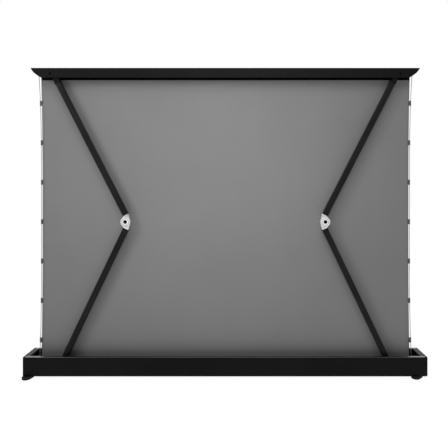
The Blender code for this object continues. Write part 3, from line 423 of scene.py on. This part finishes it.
print("materials")
finish = {
    "housing": blackAnodised("blackAnodisedExtrusion", "#0e0e0f", "#161617", 0.06),
    "bar": blackAnodised("blackAnodisedBar", "#111112", "#181819", 0.06),
    # painted shade: the near-black of the strip under the bar
    "shadeStrip": blackAnodised("paintedShadeBlack", "#020203", "#060606", 0.02),
    "tube": blackPowderCoat("blackPowderCoatedTube", "#161617", "#202021", 0.09),
    "bracket": blackPowderCoat("blackPowderCoatedBracket", "#121213", "#1a1a1b", 0.12),
    # painted highlight: the rim's tops and the end caps' decks take a lighter black than the walls and caps
    "rim": paintedHighlightBlack("anodisedRimPaintedHighlight", 1.0),
    "deck": paintedHighlightBlack("absDeckPaintedHighlight", 0.06),
    "abs": blackMouldedAbs("blackMouldedAbs"),
    "cast": castAluminium("dieCastAluminium", "#f4f4f5", "#fdfdfd"),
    # painted shade: a greyer copy of the cast silver for the knee plates' rear faces
    "rearShade": castAluminium("castRearPaintedShade", "#bcbcbe", "#d2d2d4"),
    "oxide": plainSteel("blackOxideSteel", "#0a0a0a", "#161616", 0.4, 0.3),
    "dull": plainSteel("dullBlackedSteel", "#030303", "#080808", 0.7, 0.0, 0.04),
    "plated": plainSteel("zincPlatedSteel", "#b4b6b9", "#cfd0d2", 0.32, 1.0),
    "rubber": rubber("mouldedRubber", "#151515"),
    "foot": rubber("mouldedPolyamide", "#101010"),
    "cloth": coatedCloth("greyCoatedCloth", "#8d8d8d", "#898989", edged=True),
    "face": coatedCloth("greyScreenFace", "#9d9d9d", "#989898"),
    "border": coatedCloth("blackMaskingBorder", "#161616", "#121212"),
    "cord": braidedCord("braidedPolyesterCord"),
    "tab": mouldedTab("mouldedPolypropyleneTab", "#4c4c4d", "#626264"),
    "tape": mouldedTab("weldedPvcTape", "#7c7c7d", "#868687"),
}

slotFinish = {
    "black_anodised_aluminium": "housing", "black_painted_tube": "tube", "cast_aluminium": "cast",
    "bright_steel": "plated", "black_steel": "bracket", "black_plastic": "abs", "black_rubber": "rubber",
    "grey_screen_cloth": "cloth", "pale_cord": "cord", "grey_tab_plastic": "tab",
}
for node, piece in nodes.items():
    piece.data.materials.clear()
    piece.data.materials.append(finish[slotFinish[slotOf[node]]])

print("camera and light")
view = {"place": (0.084, -3.08, 1.1735), "lens": 39.70, "sensor": 36, "shiftX": -0.0335, "shiftY": -0.087,
        "seesTo": 200}
camera = bpy.data.objects.new("photoCamera", bpy.data.cameras.new("photoCamera"))
bpy.context.scene.collection.objects.link(camera)
camera.location = view["place"]
camera.rotation_euler = (math.pi / 2, 0, 0)
camera.data.lens = view["lens"]
camera.data.sensor_width = view["sensor"]
camera.data.shift_x = view["shiftX"]
camera.data.shift_y = view["shiftY"]
camera.data.clip_end = view["seesTo"]
bpy.context.scene.camera = camera
bpy.context.scene.view_settings.view_transform = "Standard"

# the floor is a little darker round the object, painted shade, and turns white between two distances; each
# soft box has its place, the point it faces, its size, its watts and the degrees of the grid in front of it
studio = {
    "ambient": 0.04, "floorGlow": 0.76, "floorSeen": 0.93, "floorHalf": 14.0,
    "whiterFrom": 1.6, "whiterTo": 3.6, "floorColor": "#8c8c8c",
    "boxes": {
        "softBoxAbove": ((0.0, -1.8, 3.6), (0, 0, 1.0), (3.0, 1.5), 17.5, 120),
        "softBoxCentre": ((0.2, -3.6, 2.6), (0.05, 0, 1.35), (0.8, 0.8), 0.95, 30),
        "softBoxLeft": ((-3.3, -2.2, 2.5), (-0.25, 0, 1.05), (1.2, 1.6), 5.2, 50),
        "softBoxBehind": ((0.3, 4.0, 3.4), (0, 0, 1.0), (3.0, 2.0), 30.0, 120),
    },
}


# a soft box turned from its place towards the point "aim"
def softBox(name, place, aim, size, power, spread):
    light = bpy.data.objects.new(name, bpy.data.lights.new(name, "AREA"))
    bpy.context.scene.collection.objects.link(light)
    light.data.shape = "RECTANGLE"
    light.data.size, light.data.size_y = size
    light.data.energy = power
    light.data.spread = math.radians(spread)
    light.location = place
    direction = np.array(place) - np.array(aim)
    light.rotation_euler = (math.atan2(math.hypot(direction[0], direction[1]), direction[2]), 0,
                            math.atan2(direction[0], -direction[1]))


for name, (place, aim, size, power, spread) in studio["boxes"].items():
    softBox(name, place, aim, size, power, spread)


# 1 for a ray that the camera, a reflection or glass sends out, and 0 for the rest
def seenShare(tree):
    path = addNode(tree, "LightPath")
    seen = addNode(tree, "Math", {"operation": "MAXIMUM"},
                   {0: path.outputs["Is Camera Ray"], 1: path.outputs["Is Glossy Ray"]})
    return addNode(tree, "Math", {"operation": "MAXIMUM"},
                   {0: seen.outputs[0], 1: path.outputs["Is Transmission Ray"]}).outputs[0]


# white for the rays that see it, and a plain dimmer light for the rest; "whiten" is a socket for the white
def whiteSurround(tree, kind, seenStrength, plainStrength, whiten=None):
    links = {"Strength": whiten} if whiten else {}
    white = addNode(tree, kind, {"Color": (1, 1, 1, 1), "Strength": seenStrength}, links)
    plain = addNode(tree, kind, {"Color": (1, 1, 1, 1), "Strength": plainStrength})
    return addNode(tree, "MixShader", {}, {0: seenShare(tree), 1: plain.outputs[0], 2: white.outputs[0]})


world = bpy.data.worlds.new("studioSurround")
bpy.context.scene.world = world
world.use_nodes = True
worldTree = world.node_tree
mixed = whiteSurround(worldTree, "Background", 1.0, studio["ambient"])
worldTree.links.new(mixed.outputs[0], worldTree.nodes["World Output"].inputs[0])

floorMaterial, floorTree, floorShader = startMaterial("paleStudioFloor", 0.9, 0.0, 0.0)
floorShader.inputs["Base Color"].default_value = linear(studio["floorColor"])
floorPlace = addNode(floorTree, "TexCoord")
floorReach = addNode(floorTree, "VectorMath", {"operation": "LENGTH"}, {0: floorPlace.outputs["Object"]})
# painted shade: the floor's seen white dims towards the object
whiter = addNode(floorTree, "MapRange", {"From Min": studio["whiterFrom"], "From Max": studio["whiterTo"],
                                         "To Min": studio["floorSeen"], "To Max": 1.0},
                 {0: floorReach.outputs["Value"]})
glow = whiteSurround(floorTree, "Emission", 1.0, studio["floorGlow"], whiter.outputs[0])
added = addNode(floorTree, "AddShader", {}, {0: floorShader.outputs[0], 1: glow.outputs[0]})
floorTree.links.new(added.outputs[0], floorTree.nodes["Material Output"].inputs[0])
half = studio["floorHalf"]
floorMesh = bpy.data.meshes.new("studioFloor")
floorCorners = [(-half, -half, 0), (half, -half, 0), (half, half, 0), (-half, half, 0)]
floorMesh.from_pydata(floorCorners, [], [(0, 1, 2, 3)])
floorMesh.materials.append(floorMaterial)
studioFloor = bpy.data.objects.new("studioFloor", floorMesh)
bpy.context.scene.collection.objects.link(studioFloor)

print("housing")
wall = {"thickness": 0.0025, "rimWidth": 0.022, "lipHeight": 0.012, "portWidth": 0.0085,
        "slotLip": 0.0125, "slotDepth": 0.0078, "slotBottom": 0.0165, "slotTop": 0.0185,
        "rimRadius": 0.003, "edge": 0.0004, "cutEdge": 0.0002, "reach": 1.2137}


# cross section of a wall in (Y, Z), with its rim, screw ports and the slot that holds the floor plate
def wallOutline(side):
    outer = screen["halfDepth"]
    thick = wall["thickness"]
    inner, lip = outer - thick, outer - wall["rimWidth"]
    under = screen["rimHeight"] - thick
    port = inner - wall["portWidth"]
    low, top = wall["slotBottom"], wall["slotTop"]
    foot = outer - wall["slotLip"]
    corners = [
        (outer, screen["housingBottom"]), (outer, screen["rimHeight"]), (lip, screen["rimHeight"]),
        (lip, screen["rimHeight"] - wall["lipHeight"]),
        (lip + thick, screen["rimHeight"] - wall["lipHeight"]), (lip + thick, under),
        (port, under), (port, under - wall["portWidth"]), (inner, under - wall["portWidth"]),
        (inner, top + wall["portWidth"]), (port, top + wall["portWidth"]), (port, top),
        (foot + wall["slotDepth"], top), (foot + wall["slotDepth"], low), (foot, low),
        (foot, screen["housingBottom"]),
    ]
    radii = np.full(len(corners), wall["edge"])
    radii[1] = wall["rimRadius"]
    return fillet(corners, radii) * (side, 1)


for word, side in (("rear", -1), ("front", 1)):
    piece = extrude(f"housingWall_{word}", wallOutline(side), -wall["reach"], wall["reach"], alongX,
                    finish["housing"], wall["cutEdge"])
    # painted highlight: the wall's up-facing rim faces get the lighter, glossier black
    paintHighlightOnTop(piece, screen["rimHeight"] - wall["rimRadius"], finish["rim"])
    settle(piece, "housing", "black_anodised_aluminium", f"housing_{word}_profile")

for word in ("left", "right"):
    piece = brokenEdges(f"housing_end_cap_{word}", f"endCap_{word}", finish["abs"], 0.0008)
    # painted highlight: the end cap's deck gets a lighter black
    paintHighlightOnTop(piece, screen["rimHeight"] - wall["rimRadius"], finish["deck"])
    brokenEdges(f"arm_base_bracket_{word}", f"baseBracket_{word}", finish["bracket"], 0.0006)
brokenEdges("control_box", "controlBox", finish["abs"], 0.0012)
brokenEdges("idler_bracket", "idlerBracket", finish["bracket"], 0.0004)
brokenEdges("motor_bracket", "motorBracket", finish["bracket"], 0.0004)
brokenEdges("power_inlet", "powerInlet", finish["abs"], 0.0004)
brokenEdges("arm_rest_block", "armRestBlock", finish["rubber"], 0.0015)

# pan head screws with a hexagon socket that hold the end plates, in the plates' recesses
endScrew = {"head": 0.0040, "height": 0.0024, "socket": 0.0019, "shank": 0.0019, "reach": 0.012,
            "seat": 1.2217, "sides": 0.08325, "upper": 0.12425, "lower": 0.02275}


# shares of a screw's head: its straight side and its dome's draw, then its socket's mouth, rim and floor
screwForm = {"side": 0.35, "draw": 0.5, "mouth": 1.12, "mouthSix": 0.6, "rim": 0.9, "floor": 0.35,
             "drill": 0.3, "drillEnd": 0.25}


# rows of (radius, along, six) from the shank's end, over the domed head and down into its socket
def screwProfile(size, seat, way):
    dome = np.linspace(0, math.pi / 2, 5)
    head, height, socket, form = size["head"], size["height"], size["socket"], screwForm
    rows = [(size["shank"], seat - way * size["reach"], 0), (size["shank"], seat, 0), (head, seat, 0)]
    rows += [(head - height * form["draw"] * (1 - math.cos(a)),
              seat + way * height * (form["side"] + (1 - form["side"]) * math.sin(a)), 0) for a in dome]
    rows += [(socket * form["mouth"], seat + way * height, form["mouthSix"]),
             (socket, seat + way * height * form["rim"], 1), (socket, seat + way * height * form["floor"], 1),
             (socket * form["drill"], seat + way * height * form["drillEnd"], 0)]
    return rows


screwPlaces = [(way * endScrew["sides"], endScrew[level]) for way in (-1, 1) for level in ("upper", "lower")]
for word, side in (("left", -1), ("right", 1)):
    profile = screwProfile(endScrew, side * endScrew["seat"], side)
    heads = [turned(f"screw_{word}_{index}", profile, place, alongX, finish["oxide"], 24)
             for index, place in enumerate(screwPlaces)]
    settle(joinPieces(f"endPlateScrews_{word}", heads), "housing", "black_steel")

print("feet")
for word in ("rear_left", "rear_right", "front_right", "front_left"):
    brokenEdges(f"foot_{word}", f"swivelFoot_{word}", finish["foot"], 0.0009, 3)

print("arms")
# a tube in (inward, depth); "base", "plate" and "top" are how far its ends stay off the pivots
arm = {"low": 0.003, "high": 0.037, "half": 0.018, "corner": 0.005625, "cutEdge": 0.0004,
       "base": 0.0463, "plate": 0.0368, "top": 0.0423}
tubeOutline = fillet([(arm["low"], -arm["half"]), (arm["high"], -arm["half"]), (arm["high"], arm["half"]),
                      (arm["low"], arm["half"])], arm["corner"], 7)
for word, side in (("left", -1), ("right", 1)):
    lower = armPlace(side, -side * lowerLean, screen["baseSide"], screen["baseHeight"])
    upper = armPlace(side, side * upperLean, screen["kneeSide"], screen["kneeHeight"])
    for name, place, start, end in (("lower", lower, arm["base"], armReach - arm["plate"]),
                                    ("upper", upper, arm["plate"], upperReach - arm["top"])):
        piece = extrude(f"{name}ArmTube_{word}", tubeOutline, start, end,
                        lambda flat, along, place=place: place(alongZ(flat, along)),
                        finish["tube"], arm["cutEdge"])
        settle(piece, f"{name}_arm_{word}", "black_painted_tube", f"{name}_arm_tube_{word}")
    for kind in ("fork", "tongue"):
        piece = brokenEdges(f"knee_{kind}_{word}", f"knee{kind.title()}_{word}", finish["cast"], 0.0011, 3)
        # painted shade: the knee plates' rear faces take the greyer copy
        shadeRearFaces(piece, finish["rearShade"])
    brokenEdges(f"lower_arm_base_knuckle_{word}", f"baseKnuckle_{word}", finish["housing"], 0.0006)
    brokenEdges(f"upper_arm_top_knuckle_{word}", f"topKnuckle_{word}", finish["housing"], 0.0006)
    brokenEdges(f"knee_nut_{word}", f"kneeNut_{word}", finish["oxide"], 0.0003)

# the knee's pivot bolt, the machined ring round it and the raised rib along the knee plate's edge
kneeBolt = {"radius": 0.011, "pin": 0.006, "tail": 0.0195, "seat": -0.0183, "height": 0.0026,
            "round": 0.0012, "roundIn": 0.0004, "roundDown": 0.0005,
            "socket": 0.0032, "mouth": 0.0007, "mouthDown": 0.0004, "floor": 0.0020, "drill": 0.0022}
kneeShape = {"disc": 0.029, "start": 0.031, "shoulder": 0.0015, "end": 0.0365,
             "draw": 0.0010, "width": 0.0030, "proud": 0.0009, "soft": 0.0004}
kneeRing = {"inner": 0.0122, "outer": 0.0168, "proud": 0.0010, "sunk": 0.0003, "side": 0.7,
            "soft": 0.0004, "round": 0.0012}


# angle at which a line from the point touches the circle round the pivot; "way" picks the side
def touchAngle(point, way):
    return math.atan2(point[1], point[0]) + way * math.acos(kneeShape["disc"] / math.hypot(*point))


# the knee plate's outline in (inward, along): a disc and the straight sides from it to the arm's end
def kneeOutline():
    outerSide = (arm["low"], kneeShape["start"] + kneeShape["shoulder"])
    innerSide = (arm["high"], kneeShape["start"])
    turn = np.linspace(touchAngle(outerSide, 1), touchAngle(innerSide, -1) + 2 * math.pi, 49)
    disc = kneeShape["disc"] * np.column_stack([np.cos(turn), np.sin(turn)])
    return np.concatenate([[(arm["low"], kneeShape["end"]), outerSide], disc,
                           [innerSide, (arm["high"], kneeShape["end"])]])


# the rib's cross section as (distance in from the outline, depth), from its outer to its inner foot
def kneeRib(face):
    near, far = kneeShape["draw"], kneeShape["draw"] + kneeShape["width"]
    proud, soft = kneeShape["proud"], kneeShape["soft"]
    return [(near, face + soft), (near, face - proud + soft), (near + soft, face - proud),
            (far - soft, face - proud), (far, face - proud + soft), (far, face + soft)]


# rows of (radius, along, six) from the bolt's tail, over its flat round head and down into its socket
def boltProfile(size):
    seat = screen["armPlane"] + size["seat"]
    top = seat - size["height"]
    pin, radius, socket = size["pin"], size["radius"], size["socket"]
    return [(pin, screen["armPlane"] + size["tail"], 0), (pin, seat, 0), (radius, seat, 0),
            (radius, top + size["round"], 0), (radius - size["roundIn"], top + size["roundDown"], 0),
            (radius - size["round"], top, 0), (socket + size["mouth"], top, 0.5),
            (socket, top + size["mouthDown"], 1), (socket, top + size["floor"], 1),
            (socket * 0.3, top + size["drill"], 0)]


# rows of (radius, along, six) round the ring's section, which stands proud of the plate's face
def ringProfile(size, face):
    inner, outer, soft = size["inner"], size["outer"], size["soft"]
    foot, side, crest = face + size["sunk"], face - size["proud"] * size["side"], face - size["proud"]
    return [(inner, foot, 0), (inner, side, 0), (inner + soft, crest, 0),
            (outer - size["round"], crest, 0), (outer - soft, side, 0), (outer, foot, 0)]


for word, side in (("left", -1), ("right", 1)):
    center = (side * screen["kneeSide"], screen["kneeHeight"])
    piece = turned(f"kneeBolt_{word}", boltProfile(kneeBolt), center, alongY, finish["dull"], 48)
    settle(piece, f"lower_arm_{word}", "black_steel", f"knee_bolt_{word}")
    ring = ringProfile(kneeRing, screen["armPlane"] - arm["half"])
    boss = turned(f"kneeBoss_{word}", ring, center, alongY, finish["cast"], 64, closed=True)
    place = armPlace(side, -side * lowerLean, screen["baseSide"], screen["baseHeight"])
    edge = kneeOutline() * (1, -1) + (0, armReach)
    rows = [place(alongY(inset(edge, draw), depth)) for draw, depth in kneeRib(-arm["half"])]
    rib = loft(f"kneeRib_{word}", np.stack(rows), finish["cast"], closed=True)
    settle(joinPieces(f"kneeBoss_{word}", [boss, rib]), f"lower_arm_{word}", "cast_aluminium")

print("top bar")
bar = {"half": 1.1885, "depth": 0.064, "wall": 0.0025, "rear": 0.060, "front": 0.030, "slant": 0.064,
       "bulge": 0.0113, "cap": 0.0028, "corner": 0.003, "edge": 0.0006, "rings": 41,
       "bead": 0.0012, "beadHeight": 0.007, "beadSlope": 0.001, "beadEdge": 0.0005}


# half length of the bar at a height: the end slants in and bulges as it goes down
def barEnd(height):
    share = (screen["height"] - height) / bar["rear"]
    return bar["half"] - bar["slant"] * share + 4 * bar["bulge"] * share * (1 - share) - bar["cap"]


outer, inner = bar["depth"], bar["depth"] - bar["wall"]
top, rearLow, frontLow = screen["height"], screen["height"] - bar["rear"], screen["height"] - bar["front"]
under = top - bar["wall"]
barCorners = [
    (-outer - bar["bead"], rearLow), (-inner, rearLow), (-inner, under), (inner, under), (inner, frontLow),
    (outer, frontLow), (outer, top), (-outer, top),
    (-outer, rearLow + bar["beadHeight"] + bar["beadSlope"]),
    (-outer - bar["bead"], rearLow + bar["beadHeight"]),
]
barRadii = [bar["edge"]] * 6 + [bar["corner"]] * 2 + [bar["beadEdge"]] * 2
barOutline = fillet(barCorners, barRadii)
shares = np.linspace(-1, 1, bar["rings"])[:, None]
barRings = np.empty((len(shares), len(barOutline), 3))
barRings[..., 0] = shares * barEnd(barOutline[:, 1])[None]
barRings[..., 1:] = barOutline[None]
piece = loft("topBarProfile", barRings, finish["bar"])
settle(piece, "top_bar", "black_anodised_aluminium", "top_bar_profile")

barScrew = {"head": 0.0068, "height": 0.0020, "socket": 0.0025, "shank": 0.0019, "reach": 0.006,
            "sideways": 1.070, "down": 0.0335, "proud": 0.0003}
for word, side in (("left", -1), ("right", 1)):
    brokenEdges(f"top_bar_end_cap_{word}", f"topBarEndCap_{word}", finish["abs"], 0.0006)
    brokenEdges(f"top_bracket_{word}", f"topBracket_{word}", finish["bracket"], 0.0005)
    profile = screwProfile(barScrew, -bar["depth"] - barScrew["proud"], -1)
    center = (side * barScrew["sideways"], screen["height"] - barScrew["down"])
    piece = turned(f"topBarScrew_{word}", profile, center, alongY, finish["dull"], 32)
    settle(piece, "top_bar", "black_steel", f"top_bar_screw_{word}")
brokenEdges("cloth_clamp_strip", "clothClampStrip", finish["housing"], 0.0004)

# a thin near-black strip that hangs down from the clamp's rear edge and shows below the bar, painted shade
# for the dark band under the bar; the cord tabs pass between it and the cloth when the screen is folded
shadeStrip = {"half": 1.1415, "low": 1.8240, "high": 1.8712, "behindCloth": 0.0049, "thickness": 0.0010,
          "edge": 0.0003}
near = screen["clothPlane"] - shadeStrip["behindCloth"]
far = near - shadeStrip["thickness"]
shadeStripOutline = fillet([(far, shadeStrip["low"]), (near, shadeStrip["low"]), (near, shadeStrip["high"]),
                        (far, shadeStrip["high"])], shadeStrip["edge"])
piece = extrude("paintedShadeStrip", shadeStripOutline, -shadeStrip["half"], shadeStrip["half"], alongX,
                finish["shadeStrip"], shadeStrip["edge"])
settle(piece, "top_bar", "black_anodised_aluminium")

print("roller")
roll = {"core": 0.0269, "radius": 0.0345, "half": 1.145, "layer": 0.0008, "ripple": 0.0006,
        "around": 97, "lengthRows": 9, "endRows": 11}
# the wound cloth's outline is a spiral of one turn that steps in by one layer where the outer turn starts
angle = np.linspace(0, 2 * math.pi, roll["around"])
spiral = roll["radius"] - roll["layer"] * angle / (2 * math.pi)
outside = np.stack([-spiral * np.cos(angle), spiral * np.sin(angle)], 1)
inside = np.stack([-np.cos(angle), np.sin(angle)], 1) * roll["core"]
# its rows run along the outside, in over the layers of one end, back along the core and out over the other
# end; every second row of an end lies a little deeper, as the layers' edges do
lengthRows, endRows = roll["lengthRows"], roll["endRows"]
shares = np.linspace(0, 1, endRows + 2)[1:-1, None, None]
layers = list(outside[None] * (1 - shares) + inside[None] * shares)
sections = [outside] * lengthRows + layers + [inside] * lengthRows + layers[::-1]
alongs = np.concatenate([np.linspace(-1, 1, lengthRows), np.ones(endRows),
                         np.linspace(1, -1, lengthRows), -np.ones(endRows)])
deeper = roll["ripple"] * (np.arange(endRows) % 2)
dents = np.concatenate([np.zeros(lengthRows), deeper, np.zeros(lengthRows), deeper])
center = (screen["rollerDepth"], screen["rollerHeight"])
rollRings = np.stack([alongX(section + center, along * (roll["half"] - dent))
                      for section, along, dent in zip(sections, alongs, dents)])
piece = loft("woundCloth", rollRings, finish["cloth"], closed=True)
settle(piece, "roller", "grey_screen_cloth", "wound_cloth")

print("cloth")
sheet = {"half": 1.1372, "topSpread": 0.0094, "bottomSpread": 0.008, "low": 0.062, "top": 1.8822,
         "thickness": 0.0008, "edge": 0.0026, "edgeBlur": 0.0004, "rows": 74, "columns": 61,
         "pictureHalf": 1.107, "pictureLow": 0.548, "pictureTop": 1.793}


# half width of the cloth: its edges draw in between its two ends by the third power of the height
def clothSide(height):
    middle = (sheet["low"] + sheet["top"]) / 2
    share = (height - middle) / (sheet["top"] - middle)
    return sheet["half"] + np.where(share > 0, sheet["topSpread"], sheet["bottomSpread"]) * np.abs(share) ** 3


# the cloth as two grids, front and rear, whose columns follow its edges, and a strip that joins them; the
# front has the picture's grey face in a black border. Its area is the sum of its rows' mean widths times
# their heights
def gridSheet():
    heights = np.unique(np.concatenate([np.linspace(sheet["low"], sheet["top"], sheet["rows"]),
                                        [sheet["pictureLow"], sheet["pictureTop"]]]))
    inside = np.linspace(-sheet["pictureHalf"], sheet["pictureHalf"], sheet["columns"])
    rim = np.linspace(0, 1, 4)[1:]
    sides = clothSide(heights)[:, None]
    edge = sides - sheet["edge"]
    plain = edge - sheet["edgeBlur"]
    outerPart = np.concatenate([sheet["pictureHalf"] + (plain - sheet["pictureHalf"]) * rim[None], edge], 1)
    row = np.concatenate([-sides, -outerPart[:, ::-1], np.broadcast_to(inside, (len(heights), len(inside))),
                          outerPart, sides], 1)
    columns = row.shape[1]
    front = np.stack([row, np.full_like(row, screen["clothPlane"] + sheet["thickness"] / 2),
                      np.broadcast_to(heights[:, None], row.shape)], -1)
    rear = front - (0, sheet["thickness"], 0)
    vertices = np.concatenate([front.reshape(-1, 3), rear.reshape(-1, 3)])
    count = len(heights) * columns
    faces = gridFaces(len(heights), columns, closedColumns=False)
    rows, spans = len(heights) - 1, columns - 1
    middleHeights = (heights[1:] + heights[:-1]) / 2
    span, margin = np.arange(spans), outerPart.shape[1] + 1
    lit = ((middleHeights[:, None] > sheet["pictureLow"]) & (middleHeights[:, None] < sheet["pictureTop"])
           & (span[None] >= margin) & (span[None] < spans - margin))
    slots = np.where(lit, 1, 2).reshape(-1).tolist()  # 0 rear, 1 picture, 2 border and edge
    faces += [[v + count for v in quad] for quad in faces]
    slots += [0] * (rows * spans)
    border = np.concatenate([np.arange(columns), np.arange(1, rows + 1) * columns + columns - 1,
                             rows * columns + np.arange(columns - 2, -1, -1),
                             np.arange(rows - 1, 0, -1) * columns])
    following = np.roll(border, -1)
    faces += np.stack([border, following, following + count, border + count], 1).tolist()
    slots += [2] * len(border)
    piece = makeObject("screenCloth", vertices, faces, finish["cloth"], 60)
    piece.data.materials.append(finish["face"])
    piece.data.materials.append(finish["border"])
    piece.data.polygons.foreach_set("material_index", slots)
    dark = piece.data.attributes.new("edgeDark", "FLOAT", "POINT")
    darkness = np.zeros(row.shape)
    darkness[:, [0, 1, -2, -1]] = 1.0
    dark.data.foreach_set("value", np.concatenate([darkness.reshape(-1)] * 2))
    area = float(np.sum((sides[1:, 0] + sides[:-1, 0]) * np.diff(heights)))
    return piece, area


clothPiece, clothArea = gridSheet()
settle(clothPiece, "housing", "grey_screen_cloth", "screen_cloth")
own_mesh(clothPiece)

print("cords and tabs")
tension = {"half": 1.1438, "topSpread": 0.018, "bottomSpread": 0.014, "radius": 0.00175, "low": 0.062,
           "top": 1.8792, "around": 16, "rows": 180, "strand": 0.006, "strandsRound": 4}


# distance of a cord from the middle: it spreads towards both its ends by the fourth power of the height
def cordSide(height):
    middle = (tension["low"] + tension["top"]) / 2
    share = (height - middle) / (tension["top"] - middle)
    return tension["half"] + np.where(share > 0, tension["topSpread"], tension["bottomSpread"]) * share ** 4


# circles strung on the cord's line; its UV map turns with two sets of strands that cross, and its path takes
# every third row
def makeCord(word, side):
    heights = np.linspace(tension["low"], tension["top"], tension["rows"])
    around = tension["around"]
    turn = np.linspace(0, 2 * math.pi, around, endpoint=False)
    rings = np.empty((len(heights), around, 3))
    rings[..., 0] = (side * cordSide(heights))[:, None] + tension["radius"] * np.cos(turn)
    rings[..., 1] = screen["clothPlane"] + tension["radius"] * np.sin(turn)
    rings[..., 2] = heights[:, None]
    piece = loft(f"edgeCord_{word}", rings, finish["cord"])
    strands = piece.data.uv_layers.new(name="strands")
    vertexOf = np.empty(len(piece.data.loops), int)
    piece.data.loops.foreach_get("vertex_index", vertexOf)
    level, place = vertexOf // around, vertexOf % around
    along = heights[np.minimum(level, len(heights) - 1)] / tension["strand"]
    turns = place * tension["strandsRound"] / around
    uv = np.stack([turns + along, turns - along], 1)
    strands.data.foreach_set("uv", uv.reshape(-1))
    settle(piece, "housing", "pale_cord", f"edge_cord_{word}")
    levels = heights[::-3]
    path = np.column_stack([side * cordSide(levels), np.full(len(levels), screen["clothPlane"]), levels])
    path[-1] = (side * float(cordSide(tension["low"])), screen["clothPlane"], tension["low"])
    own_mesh(piece)


# the tabs: a welded tape along the cloth's edge, and on it at each tab a plate, a loop and a rivet
clip = {"count": 7, "topHeight": 1.681, "pitch": 0.245, "height": 0.032, "onCloth": 0.007,
        "plateShare": 0.98, "plateCorner": 0.008, "plateThickness": 0.0011, "plateGap": 0.0002,
        "plateEdge": 0.0004, "overLoop": 0.6,
        "loopOuter": 0.00365, "loopInner": 0.00265, "loopRound": 0.0005, "loopRoundHeight": 0.0006,
        "rivet": 0.0032, "rivetProud": 0.0011, "rivetSunk": 0.0003, "rivetFlat": 0.25, "rivetIn": 0.2,
        "tapeIn": 0.001, "tapeGap": 0.0003, "tapeWidth": 0.012, "tapeThickness": 0.001, "tapeRows": 60}
# the tape's section in shares of its width and thickness: flat below, with softened edges above
tapeSection = ((0, 0), (1, 0), (1, 0.8), (0.92, 1), (0.08, 1), (0, 0.8))


# a tab's plate: a rectangle with large corners round a middle in (X, Z)
def tabOutline(low, high, middle, height, radius):
    return fillet([(low, middle - height / 2), (high, middle - height / 2), (high, middle + height / 2),
                   (low, middle + height / 2)], radius, 7)


# one side's tape and its tabs, whose places follow the edge of the cloth and the line of the cord
def makeTabs(word, side):
    tapeFace = screen["clothPlane"] - sheet["thickness"] / 2 - clip["tapeGap"]
    low = clip["topHeight"] - (clip["count"] - 1) * clip["pitch"] - clip["height"]
    heights = np.linspace(low, clip["topHeight"] + clip["height"], clip["tapeRows"])
    outerEdge = clothSide(heights) - clip["tapeIn"]
    tape = np.stack([np.stack([side * (outerEdge - across * clip["tapeWidth"]),
                               np.full(len(heights), tapeFace - deep * clip["tapeThickness"]), heights], -1)
                     for across, deep in tapeSection], 1)
    parts = [loft(f"tape_{word}", tape, finish["tape"])]
    plateFace = tapeFace - clip["tapeThickness"] - clip["plateGap"]
    plateBack = plateFace - clip["plateThickness"]
    half, inner, outer = clip["height"] / 2, clip["loopInner"], clip["loopOuter"]
    soft, softHeight = clip["loopRound"], clip["loopRoundHeight"]
    dome = np.linspace(0, math.pi / 2, 5)
    rivet = [(clip["rivet"], plateBack + clip["rivetSunk"], 0)]
    rivet += [(clip["rivet"] * (clip["rivetFlat"] + (1 - clip["rivetFlat"]) * math.cos(a)),
               plateBack - clip["rivetProud"] * math.sin(a), 0) for a in dome]
    for index in range(clip["count"]):
        height = clip["topHeight"] - index * clip["pitch"]
        cordPlace, edge = float(cordSide(height)), float(clothSide(height))
        outline = tabOutline(side * (edge - clip["onCloth"]), side * (cordPlace + outer * clip["overLoop"]),
                             height, clip["height"] * clip["plateShare"], clip["plateCorner"])
        parts.append(extrude(f"plate_{word}_{index}", outline, plateBack, plateFace, alongY,
                             finish["tab"], clip["plateEdge"]))
        loop = [(inner, height - half, 0), (outer - soft, height - half, 0),
                (outer, height - half + softHeight, 0), (outer, height + half - softHeight, 0),
                (outer - soft, height + half, 0), (inner, height + half, 0)]
        parts.append(turned(f"loop_{word}_{index}", loop, (side * cordPlace, screen["clothPlane"]), alongZ,
                            finish["tab"], 20, closed=True))
        center = (side * (edge - clip["onCloth"] * clip["rivetIn"]), height)
        parts.append(turned(f"rivet_{word}_{index}", rivet, center, alongY, finish["oxide"], 16))
    piece = joinPieces(f"cordTabs_{word}", parts)
    settle(piece, "housing", "grey_tab_plastic", f"cord_tabs_{word}")
    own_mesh(piece)


for word, side in (("left", -1), ("right", 1)):
    makeCord(word, side)
    makeTabs(word, side)

bpy.context.view_layer.update()
